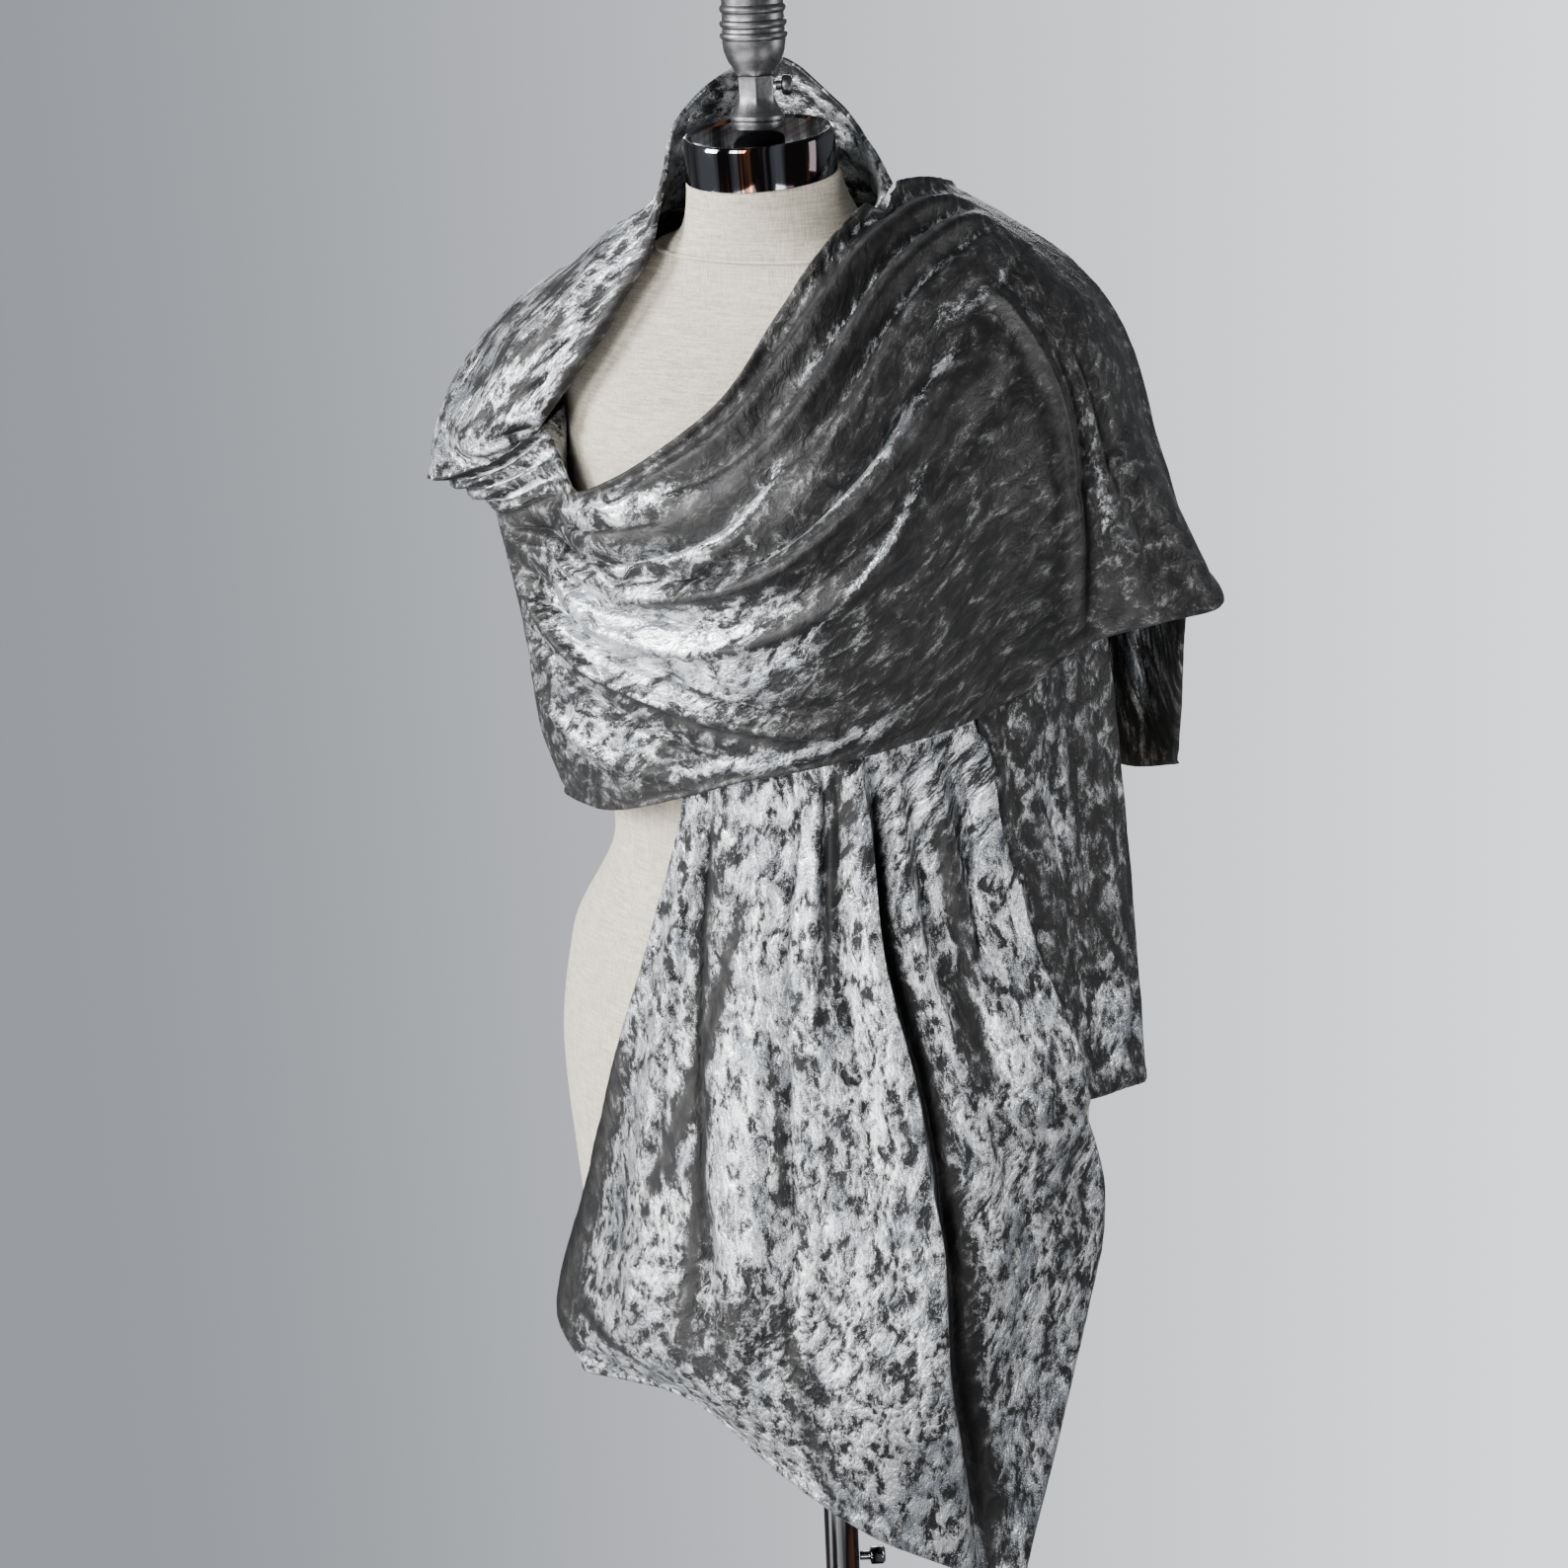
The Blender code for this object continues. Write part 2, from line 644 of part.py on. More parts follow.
FRONT_FOLDS = (
    (0.34, 0.06, 0.86, 0.22, 0.050, 10),
    (0.36, 0.16, 0.86, 0.31, 0.040, -9),
    (0.36, 0.33, 0.92, 0.40, 0.050, 12),
    (0.36, 0.44, 0.80, 0.49, 0.040, -10),
    (0.37, 0.54, 0.98, 0.78, 0.050, 12),
    (0.40, 0.61, 0.98, 0.87, 0.035, -16),
    (0.36, 0.72, 0.70, 0.86, 0.040, 10),
    (0.36, 0.81, 0.60, 0.93, 0.035, -8),
    (0.36, 0.90, 0.62, 0.98, 0.040, 8),
)
FRONT_ALONG = 26
FRONT_ACROSS = 34
FRONT_DROP_END = 9
FRONT = sheet_grid(FRONT_SECTIONS, FRONT_ALONG, FRONT_ACROSS)
raise_folds(FRONT, FRONT_FOLDS, 1)
keep_clear(FRONT, (SIDE_TREE,))
seat(FRONT, FORM_TREE)
split_solids((
    ("stole_front_drop", 0, FRONT_DROP_END),
    ("stole_front_end", FRONT_DROP_END, FRONT_ALONG),
), FRONT)
FRONT_TREE = grid_tree(FRONT, 1)

# Wrap: from the right flank across the bust, over the left shoulder as a loose wing, and
# down the left back. Sections run along the cloth: upper edge down to the hem.
WRAP_SECTIONS = (
    (-238, 46, 1212, -218, 22, 1156, -198, 0, 1100, -180, -8, 1028, -164, -12, 955),
    (-180, -98, 1170, -174, -92, 1125, -168, -86, 1070, -164, -82, 1012, -150, -76, 962),
    (-120, -116, 1188, -128, -120, 1142, -134, -118, 1084, -132, -112, 1020, -124, -100, 962),
    (-85, -130, 1194, -85, -140, 1147, -88, -138, 1088, -86, -132, 1030, -80, -128, 970),
    (-30, -134, 1224, -20, -154, 1162, -22, -150, 1098, -24, -144, 1040, -25, -140, 988),
    (15, -118, 1262, 35, -156, 1180, 35, -158, 1114, 32, -154, 1056, 28, -148, 1008),
    (38, -92, 1306, 75, -148, 1208, 88, -156, 1142, 85, -148, 1074, 78, -138, 1020),
    (60, -74, 1343, 105, -118, 1256, 135, -128, 1180, 138, -118, 1108, 130, -104, 1032),
    (76, -46, 1369, 126, -76, 1308, 170, -78, 1230, 182, -66, 1150, 172, -54, 1046),
    (90, -14, 1385, 148, -28, 1338, 200, -18, 1260, 212, -8, 1168, 210, 8, 1076),
    (96, 8, 1386, 160, 2, 1346, 216, -4, 1280, 239, 0, 1196, 268, 8, 1098),
    (102, 34, 1381, 165, 34, 1342, 214, 38, 1290, 239, 40, 1212, 297, 42, 1104),
    (100, 62, 1370, 160, 85, 1328, 205, 92, 1272, 228, 98, 1190, 258, 98, 1112),
    (90, 100, 1326, 138, 130, 1280, 182, 140, 1212, 208, 142, 1138, 236, 132, 1064),
    (70, 125, 1220, 112, 148, 1200, 156, 158, 1145, 196, 154, 1080, 230, 142, 1016),
    (58, 136, 960, 102, 152, 950, 150, 160, 946, 190, 155, 945, 226, 142, 955),
)
WRAP_FOLDS = (
    (0.18, 0.05, 0.74, 0.08, 0.05, 10),
    (0.24, 0.16, 0.70, 0.20, 0.05, -8),
    (0.14, 0.16, 0.52, 0.34, 0.06, 9),
    (0.12, 0.26, 0.42, 0.50, 0.05, -8),
    (0.11, 0.34, 0.42, 0.66, 0.06, 9),
    (0.09, 0.46, 0.34, 0.84, 0.05, -9),
    (0.09, 0.60, 0.30, 0.93, 0.06, 6),
    (0.60, 0.25, 0.60, 0.98, 0.022, -12),
    (0.66, 0.40, 0.68, 0.95, 0.03, 6),
)
WRAP_ALONG = 54
WRAP_ACROSS = 18
WRAP_FRONT_END = 33
WRAP_WING_END = 46
WRAP = sheet_grid(WRAP_SECTIONS, WRAP_ALONG, WRAP_ACROSS)
for column in range(WRAP_ACROSS + 1):
    WRAP[0][column] = curve_point(BACK_SIDE, 0.5 + 0.5 * column / WRAP_ACROSS)

raise_folds(WRAP, WRAP_FOLDS, 1)
keep_clear(WRAP, (BACK_TREE, COLLAR_TREE, SIDE_TREE, FRONT_TREE))
split_solids((
    ("stole_front_wrap", 0, WRAP_FRONT_END),
    ("stole_left_shoulder", WRAP_FRONT_END, WRAP_WING_END),
    ("stole_back_end", WRAP_WING_END, WRAP_ALONG),
), WRAP)

# Pinch: the right shoulder's lower edge turns in under itself and gathers into the top
# of the wrap. Its sections run from the back to the bust between those two edges.
PINCH_STATIONS = 9
PINCH_ALONG = 14
PINCH_ACROSS = 6
PINCH_START = 0.12
PINCH_TUCK = 9 * MM
PINCH_UPPER_STEP = 2.6 * MM
PINCH_LOWER_STEP = 1.8 * MM
PINCH_FOLDS = (
    (0.35, 0.35, 0.95, 0.35, 0.12, -3),
    (0.35, 0.68, 0.95, 0.68, 0.12, 3),
)
UPPER_EDGE = RIGHT[-1][::-1]
LOWER_EDGE = [line[0] for line in WRAP[:PINCH_STATIONS + 1]]
PINCH = []
for row in range(PINCH_ALONG + 1):
    share = blend(PINCH_START, 1.0, row / PINCH_ALONG)
    upper = curve_point(UPPER_EDGE, share)
    lower = curve_point(LOWER_EDGE, share)
    across = (lower - upper).normalized()
    upper += across * PINCH_UPPER_STEP
    lower -= across * PINCH_LOWER_STEP
    inward = -Vector((upper.x, upper.y, 0)).normalized()
    depth = PINCH_TUCK * math.sin(math.pi * share) ** 0.5 if share < 1 else 0.0
    turn_in = [upper, (upper + lower) / 2 + inward * depth, lower]
    PINCH.append([curve_point(turn_in, column / PINCH_ACROSS) for column in range(PINCH_ACROSS + 1)])
finish_sheet("stole_pinch_fold", PINCH, PINCH_FOLDS, 1)
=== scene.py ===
"""Evening stole of crushed velvet, draped on a limbless linen dress form with its stand.

Metres, Z up. The form faces -Y and its own left is +X; the floor is at Z = 0.
"""
import math

import bmesh
import bpy
import numpy as np
from mathutils import Matrix, Vector, noise
from mathutils.bvhtree import BVHTree


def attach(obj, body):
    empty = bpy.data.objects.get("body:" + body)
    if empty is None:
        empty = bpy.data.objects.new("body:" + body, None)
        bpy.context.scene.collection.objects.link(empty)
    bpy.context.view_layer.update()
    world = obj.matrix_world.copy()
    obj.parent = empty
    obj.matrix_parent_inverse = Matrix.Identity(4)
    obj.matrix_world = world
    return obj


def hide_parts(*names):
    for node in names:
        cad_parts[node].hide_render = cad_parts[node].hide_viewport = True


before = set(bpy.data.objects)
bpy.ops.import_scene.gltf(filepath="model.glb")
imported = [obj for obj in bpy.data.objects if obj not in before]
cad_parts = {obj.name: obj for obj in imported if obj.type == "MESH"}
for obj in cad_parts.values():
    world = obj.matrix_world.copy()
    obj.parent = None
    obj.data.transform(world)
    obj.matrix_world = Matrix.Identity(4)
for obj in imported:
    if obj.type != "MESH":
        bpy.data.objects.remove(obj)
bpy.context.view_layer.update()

MM = 0.001

# View: a camera a little above the shoulders, turned to the form's left and slightly
# rolled, so that the stand leaves the frame at the bottom.
VIEW_TURN = math.radians(28.0)
VIEW_PITCH = math.radians(18.0)
VIEW_ROLL = math.radians(2.5)
VIEW_DISTANCE = 2.28
VIEW_HEIGHT = 1.70
VIEW_ASIDE = -0.019
LENS_MM = 77.76

back = Vector((math.sin(VIEW_TURN) * math.cos(VIEW_PITCH),
               -math.cos(VIEW_TURN) * math.cos(VIEW_PITCH),
               math.sin(VIEW_PITCH)))
level = Vector((math.cos(VIEW_TURN), math.sin(VIEW_TURN), 0))
raised = back.cross(level)
right = level * math.cos(VIEW_ROLL) - raised * math.sin(VIEW_ROLL)
upward = level * math.sin(VIEW_ROLL) + raised * math.cos(VIEW_ROLL)
place = Vector((math.sin(VIEW_TURN), -math.cos(VIEW_TURN), 0)) * VIEW_DISTANCE
place += Vector((0, 0, VIEW_HEIGHT)) + level * VIEW_ASIDE

lens = bpy.data.cameras.new("view")
lens.sensor_width = 36
lens.lens = LENS_MM
lens.clip_end = 200
camera = bpy.data.objects.new("view", lens)
turned_view = Matrix((right, upward, back)).transposed().to_4x4()
camera.matrix_world = Matrix.Translation(place) @ turned_view
bpy.context.collection.objects.link(camera)
bpy.context.scene.camera = camera


# Studio: a pale seamless floor that fills the frame and glows with a painted sweep of light,
# two soft lights above from the form's right and its front, a low bounce, two weak fills from
# its left and a soft one from behind.
def paint(hex_colour):
    """Linear colour of an sRGB hex colour."""
    values = [int(hex_colour[k:k + 2], 16) / 255 for k in (1, 3, 5)]
    linear = [v / 12.92 if v <= 0.04045 else ((v + 0.055) / 1.055) ** 2.4 for v in values]
    return (*linear, 1.0)


def feed(made, links):
    """Leads outputs of other nodes to a node's inputs."""
    for key, socket in dict(links).items():
        made.id_data.links.new(socket, made.inputs[key])


def add_node(tree, kind, settings=(), links=()):
    """Adds a node. Settings are its own properties or input values, links go to its inputs."""
    made = tree.nodes.new("ShaderNode" + kind)
    for key, value in dict(settings).items():
        if isinstance(key, str) and hasattr(made, key):
            setattr(made, key, value)
        else:
            made.inputs[key].default_value = value
    feed(made, links)
    return made


def new_material(name, settings=()):
    """A material with its tree and shader, which holds the values that don't vary."""
    made = bpy.data.materials.new(name)
    made.use_nodes = True
    shader = made.node_tree.nodes["Principled BSDF"]
    for key, value in dict(settings).items():
        shader.inputs[key].default_value = value
    return made, made.node_tree, shader


def add_piece(name, made, finish):
    """A finished bmesh as a named, smooth-shaded piece with its finish, linked into the scene."""
    mesh = bpy.data.meshes.new(name)
    made.to_mesh(mesh)
    made.free()
    for face in mesh.polygons:
        face.use_smooth = True
    mesh.materials.append(finish)
    piece = bpy.data.objects.new(name, mesh)
    bpy.context.collection.objects.link(piece)
    return piece


# The floor takes no light from the lamps: its colour is all glow, a painted sweep of light that is darker at the
# left of the view and brighter to its right.
FLOOR_REACH = 60.0
SWEEP_HALF = 0.235
SWEEP_NEAR = 2.5
SWEEP_SWELL = 1.6
floor_painted_light, tree, shader = new_material("floor_paper_painted_light", {
    "Roughness": 0.9, "Specular IOR Level": 0.0, "Base Color": paint("#000000"),
    "Emission Strength": 1.65})
spot = add_node(tree, "TexCoord")
turned_spot = add_node(tree, "Mapping", {
    "Rotation": (0, 0, -VIEW_TURN), "Location": (0, VIEW_DISTANCE, 0)}, {0: spot.outputs["Object"]})
sides = add_node(tree, "SeparateXYZ", (), {0: turned_spot.outputs[0]})
forth = add_node(tree, "Math", {"operation": "ABSOLUTE"}, {0: sides.outputs["Y"]})
depth = add_node(tree, "Math", {"operation": "MAXIMUM", 1: SWEEP_NEAR}, {0: forth.outputs[0]})
fan = add_node(tree, "Math", {"operation": "DIVIDE"}, {0: sides.outputs["X"], 1: depth.outputs[0]})
share = add_node(tree, "MapRange", {"From Min": -SWEEP_HALF, "From Max": SWEEP_HALF},
                 {0: fan.outputs[0]})
swell = add_node(tree, "Math", {"operation": "POWER", 1: SWEEP_SWELL}, {0: share.outputs[0]})
tone = add_node(tree, "Mix", {"data_type": "RGBA", 6: paint("#7F8288"), 7: paint("#F6FAFF")},
                {0: swell.outputs[0]})
feed(shader, {"Emission Color": tone.outputs[2]})
made = bmesh.new()
bmesh.ops.create_grid(made, x_segments=1, y_segments=1, size=FLOOR_REACH)
floor = add_piece("floor", made, floor_painted_light)
floor.visible_glossy = False
floor.visible_diffuse = False

LIGHTS_AIM = Vector((0, 0, 1.05))
for name, turn, distance, height, width, tall, power in (
    ("key_light", -48, 2.6, 2.1, 1.0, 1.3, 200),
    ("front_light", -6, 3.2, 2.2, 1.3, 1.0, 138),
    ("floor_bounce", -22, 1.6, 0.16, 2.6, 0.38, 43),
    ("side_fill", 112, 3.0, 1.4, 0.7, 1.6, 50),
    ("low_fill", 64, 1.7, 0.3, 0.9, 0.4, 9),
    ("back_light", 205, 2.8, 1.5, 1.6, 1.4, 60),
):
    lamp = bpy.data.lights.new(name, "AREA")
    lamp.shape = "RECTANGLE"
    lamp.size = width
    lamp.size_y = tall
    lamp.energy = power
    lit = bpy.data.objects.new(name, lamp)
    angle = math.radians(turn)
    where = Vector((distance * math.sin(angle), -distance * math.cos(angle), height))
    lit.location = where
    lit.rotation_euler = (where - LIGHTS_AIM).to_track_quat("Z", "Y").to_euler()
    lit.visible_camera = False
    bpy.context.collection.objects.link(lit)

world = bpy.data.worlds.new("studio_air")
world.use_nodes = True
air = world.node_tree.nodes["Background"]
air.inputs["Color"].default_value = paint("#D6D9DE")
air.inputs["Strength"].default_value = 0.3
bpy.context.scene.world = world


# Stand: a weighted round base of enamelled iron, a chromed tube that carries the form,
# and the small knob that sets its height. All are turned and pressed together.
SHARP_ANGLE = math.radians(28)


def turned(name, profile, finish, nodes, place=Matrix(), steps=72, round_mm=0.6):
    """A turned piece from (height, radius) rows in mm, spun round Z, its sharp rims rounded."""
    made = bmesh.new()
    rim = [made.verts.new((radius * MM, 0, height * MM)) for height, radius in profile]
    lines = [made.edges.new(pair) for pair in zip(rim, rim[1:])]
    bmesh.ops.spin(made, geom=rim + lines, cent=(0, 0, 0), axis=(0, 0, 1), angle=math.tau,
                   steps=steps, use_merge=True)
    bmesh.ops.remove_doubles(made, verts=made.verts, dist=0.01 * MM)
    bmesh.ops.recalc_face_normals(made, faces=made.faces)
    sharp = [edge for edge in made.edges if edge.calc_face_angle(0) > SHARP_ANGLE]
    bmesh.ops.bevel(made, geom=sharp, offset=round_mm * MM, affect="EDGES", segments=3,
                    profile=0.5, material=-1)
    bmesh.ops.transform(made, matrix=place, verts=made.verts)
    piece = add_piece(name, made, finish)
    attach(piece, "root")
    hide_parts(*nodes)
    return piece


# Enamelled cast iron: a thick black coat with a faint orange-peel surface.
enamel, tree, shader = new_material("black_enamelled_iron", {
    "Base Color": paint("#17171A"), "Roughness": 0.32, "Coat Weight": 0.3, "Coat Roughness": 0.2})
spot = add_node(tree, "TexCoord")
peel = add_node(tree, "TexNoise", {"Scale": 1 / (3 * MM), "Detail": 2.0},
                {0: spot.outputs["Object"]})
bump = add_node(tree, "Bump", {"Strength": 0.3, "Distance": 0.1 * MM}, {"Height": peel.outputs[0]})
wear = add_node(tree, "MapRange", {"To Min": 0.26, "To Max": 0.4}, {0: peel.outputs[0]})
feed(shader, {"Roughness": wear.outputs[0], "Normal": bump.outputs[0]})

# Chrome plate on pressed brass and on drawn tube: a mirror whose colour holds a painted
# reflection of the studio in dark and pale upright bands, warm brown where the dark bands are
# deepest. The tube keeps its drawing lines and shines more softly.
DRAWN_OUT = (1.0, 0.06, 0.02)
plated = {}
for name, least, most, pale in (("polished_chrome_plate", 0.04, 0.1, "#8A8C92"),
                                ("drawn_chrome_tube", 0.26, 0.42, "#E4E4E6")):
    plated[name], tree, shader = new_material(name, {"Metallic": 1.0})
    spot = add_node(tree, "TexCoord")
    lines = add_node(tree, "Mapping", {"Scale": DRAWN_OUT}, {0: spot.outputs["Object"]})
    drawn = add_node(tree, "TexNoise", {"Scale": 1 / (1.5 * MM), "Detail": 3.0},
                     {0: lines.outputs[0]})
    banded = add_node(tree, "TexNoise", {"Scale": 1 / (9 * MM), "Detail": 2.0},
                      {0: lines.outputs[0]})
    bands = add_node(tree, "MapRange", {"From Min": 0.48, "From Max": 0.6}, {0: banded.outputs[0]})
    warm = add_node(tree, "MapRange", {
        "From Min": 0.36, "From Max": 0.42, "To Min": 1.0, "To Max": 0.0}, {0: banded.outputs[0]})
    # Painted reflection: the studio mirrored as dark and pale upright bands.
    painted_reflection = add_node(tree, "Mix", {"data_type": "RGBA", 6: paint("#2B2627"), 7: paint(pale)},
                         {0: bands.outputs[0]})
    tone = add_node(tree, "Mix", {"data_type": "RGBA", 7: paint("#A06A48")},
                    {0: warm.outputs[0], 6: painted_reflection.outputs[2]})
    gloss = add_node(tree, "MapRange", {"To Min": least, "To Max": most}, {0: drawn.outputs[0]})
    feed(shader, {"Base Color": tone.outputs[2], "Roughness": gloss.outputs[0]})
chrome = plated["polished_chrome_plate"]

BASE_RADIUS = 165
BASE_HEIGHT = 22
HUB_RADIUS = 24
HUB_TOP = 52
POLE_RADIUS = 12.8
GROOVE_DEPTH = 0.6
KNOB_HEIGHT = 337
FORM_LOW = 570
POLE_TOP = FORM_LOW - 9.8
GAP = 0.4
turned("base", ((0, 0), (0, BASE_RADIUS - 2), (2, BASE_RADIUS), (16, BASE_RADIUS), (20, BASE_RADIUS - 2),
                (BASE_HEIGHT, BASE_RADIUS - 7), (BASE_HEIGHT, 0)), enamel, ["stand_base"], steps=128, round_mm=1)
turned("hub", ((BASE_HEIGHT, 0), (BASE_HEIGHT, HUB_RADIUS), (34, HUB_RADIUS), (40, 21), (46, 16.5),
               (HUB_TOP, 15), (HUB_TOP, 0)), chrome, ["stand_hub"])
turned("pole", ((HUB_TOP, 0), (HUB_TOP, POLE_RADIUS), (KNOB_HEIGHT - 16, POLE_RADIUS),
                (KNOB_HEIGHT - 15, POLE_RADIUS - GROOVE_DEPTH),
                (KNOB_HEIGHT - 13, POLE_RADIUS - GROOVE_DEPTH),
                (KNOB_HEIGHT - 12, POLE_RADIUS), (POLE_TOP, POLE_RADIUS), (POLE_TOP, 0)),
       plated["drawn_chrome_tube"], ["stand_pole"], round_mm=0.2)
to_viewer = Matrix.Rotation(VIEW_TURN, 4, "Z") @ Matrix.Rotation(math.pi / 2, 4, "Y")
knob_place = Matrix.Translation((0, 0, KNOB_HEIGHT * MM)) @ to_viewer
turned("height_screw", ((POLE_RADIUS + GAP, 0), (POLE_RADIUS + GAP, 3.5), (20.8, 3.5), (21.8, 7),
                        (30.8, 7), (32.8, 4.9), (32.8, 0)), chrome, ["height_knob"], knob_place, 40)
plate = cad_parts["form_plate"]
plate.data.materials.clear()
plate.data.materials.append(enamel)

# Form: a padded torso with its neck, no arms or legs, covered in undyed linen that is
# cut in one for the body and seamed round the foot of the neck.
FORM_TOP = 1392
NECK_Y = -34
NECK_TILT = math.radians(6)
NECK_LOW = 1352
FORM_ALONG = 200
FORM_ROUND = 160

# Sections of the form, mm: height, half width, depth to the front, to the back, centre's y.
FORM_SECTIONS = (
    (570, 190, 114, 124, -2),
    (660, 198, 120, 132, -2),
    (750, 203, 124, 136, -2),
    (840, 189, 117, 120, -4),
    (930, 146, 102, 93, -8),
    (1020, 146, 106, 94, -8),
    (1100, 150, 120, 100, -6),
    (1170, 160, 134, 106, -2),
    (1235, 172, 118, 106, 2),
    (1282, 182, 92, 94, 8),
    (1312, 166, 76, 80, 6),
    (1331, 128, 66, 70, 0),
    (1345, 86, 59, 63, -12),
    (1357, 64, 55, 58, -20),
    (1378, 54, 51, 52, -29),
    (1392, 51, 50, 50, -33),
)


def ease(share):
    share = np.clip(share, 0.0, 1.0)
    return share * share * (3 - 2 * share)


def slope(table, row, column):
    """Slope of a column at a row, level where the column turns."""
    if row == 0 or row == len(table) - 1:
        first = max(0, row - 1)
        last = min(len(table) - 1, row + 1)
        return (table[last][column] - table[first][column]) / (table[last][0] - table[first][0])
    before = table[row][0] - table[row - 1][0]
    after = table[row + 1][0] - table[row][0]
    left = (table[row][column] - table[row - 1][column]) / before
    right_side = (table[row + 1][column] - table[row][column]) / after
    if left * right_side <= 0:
        return 0.0
    return 3 * (before + after) / ((2 * after + before) / left + (after + 2 * before) / right_side)


def form_section(height):
    """Half width, front depth, back depth and centre's y at a height, all in mm."""
    rows = FORM_SECTIONS
    level = max(rows[0][0], min(rows[-1][0] - 0.001, height))
    k = 0
    while rows[k + 1][0] <= level:
        k += 1
    span = rows[k + 1][0] - rows[k][0]
    t = (level - rows[k][0]) / span
    values = []
    for column in range(1, 5):
        value = (2 * t**3 - 3 * t**2 + 1) * rows[k][column]
        value += (t**3 - 2 * t**2 + t) * slope(rows, k, column) * span
        value += (3 * t**2 - 2 * t**3) * rows[k + 1][column]
        value += (t**3 - t**2) * slope(rows, k + 1, column) * span
        values.append(value)
    return values


def form_point(turn, height):
    """Point of the linen's skin. The turn runs from the front to the form's own left."""
    width, front, rear, centre = form_section(height)
    depth = rear + (front - rear) * ease(0.5 + 0.5 * math.cos(turn))
    point = Vector((width * math.sin(turn), centre - depth * math.cos(turn), height))
    tilt = ease((height - NECK_LOW) / (FORM_TOP - NECK_LOW))
    point.z += tilt * math.tan(NECK_TILT) * (point.y - NECK_Y)
    return point * MM


SEAM_FRONT = 1340
SEAM_RISE = 13
WELT_OUT = 0.5 * MM
WELT_RADIUS = 1.5 * MM
WELT_SIDES = 8
made = bmesh.new()
bmesh.ops.create_grid(made, x_segments=FORM_ROUND, y_segments=FORM_ALONG, size=1)
for vert in made.verts:
    turn = (vert.co.x + 1) * math.pi
    share = (vert.co.y + 1) / 2
    vert.co = form_point(turn, FORM_LOW + (FORM_TOP - FORM_LOW) * share)
bmesh.ops.remove_doubles(made, verts=made.verts, dist=0.05 * MM)
for upper_rim in (False, True):
    rim = [edge for edge in made.edges if edge.is_boundary
           and (edge.verts[0].co.z > (FORM_LOW + FORM_TOP) / 2 * MM) == upper_rim]
    bmesh.ops.contextual_create(made, geom=rim)
bmesh.ops.recalc_face_normals(made, faces=made.faces)
form_tree = BVHTree.FromBMesh(made)

# Welt of the neck seam: a thin corded edge, half sunk in the linen.
skin = set(made.verts)
bmesh.ops.create_grid(made, x_segments=FORM_ROUND, y_segments=WELT_SIDES, size=1)
cord = [vert for vert in made.verts if vert not in skin]
for vert in cord:
    turn = (vert.co.x + 1) * math.pi
    around = (vert.co.y + 1) * math.pi
    outward = Vector((math.sin(turn), -math.cos(turn), 0))
    middle = form_point(turn, SEAM_FRONT + SEAM_RISE * (1 - math.cos(turn)) / 2)
    vert.co = middle + outward * (WELT_OUT + WELT_RADIUS * math.cos(around))
    vert.co.z += WELT_RADIUS * math.sin(around)
bmesh.ops.remove_doubles(made, verts=cord, dist=0.05 * MM)
bmesh.ops.recalc_face_normals(made, faces=made.faces)

# Undyed linen, plain woven: slubby crossing threads, drawn at 1.1 mm so that they show.
THREAD = 1.1 * MM
linen, tree, shader = new_material("undyed_linen_cover", {
    "Roughness": 0.85, "Specular IOR Level": 0.2, "Sheen Weight": 0.15, "Sheen Roughness": 0.5})
spot = add_node(tree, "TexCoord")
weave = []
for squeeze in ((1.0, 1.0, 0.07), (0.07, 0.07, 1.0)):
    run = add_node(tree, "Mapping", {"Scale": squeeze}, {0: spot.outputs["Object"]})
    threads = add_node(tree, "TexNoise", {
        "Scale": 1 / THREAD, "Detail": 2.0, "Roughness": 0.6}, {0: run.outputs[0]})
    weave.append(threads.outputs[0])
cloth = add_node(tree, "Math", {"operation": "ADD"}, {0: weave[0], 1: weave[1]})
slubs = add_node(tree, "TexNoise", {"Scale": 1 / (60 * MM), "Detail": 3.0},
                 {0: spot.outputs["Object"]})
grade = add_node(tree, "MapRange", {"From Min": 0.75, "From Max": 1.25}, {0: cloth.outputs[0]})
thread_tone = add_node(tree, "Mix", {"data_type": "RGBA", 6: paint("#918A7B"), 7: paint("#C2BCAC")},
                       {0: grade.outputs[0]})
patch = add_node(tree, "MapRange", {"From Min": 0.35, "From Max": 0.7, "To Max": 0.35},
                 {0: slubs.outputs[0]})
tone = add_node(tree, "Mix", {"data_type": "RGBA", 7: paint("#A49D8C")},
                {0: patch.outputs[0], 6: thread_tone.outputs[2]})
bump = add_node(tree, "Bump", {"Strength": 0.5, "Distance": 0.25 * MM},
                {"Height": cloth.outputs[0]})
feed(shader, {"Base Color": tone.outputs[2], "Normal": bump.outputs[0]})

torso = add_piece("linen_form", made, linen)
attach(torso, "root")
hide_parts("form_torso")

# Neck cap and finial: a chromed metal cap closes the neck. A cast pewter-coloured finial
# with turned beads stands on it, its six-sided stem held by a small thumb screw.
CAP_RADIUS = 50.5
CAP_HEIGHT = 29.4
neck_top = Matrix.Translation((0, NECK_Y * MM, FORM_TOP * MM)) @ Matrix.Rotation(NECK_TILT, 4, "X")
turned("neck_cap", ((GAP, 0), (GAP, CAP_RADIUS), (26, CAP_RADIUS), (28.6, 49.6), (CAP_HEIGHT, 48),
                    (28.9, 46.5), (27.6, 44.5), (27.6, 0)), chrome, ["neck_cap"], neck_top, 120, 0.3)

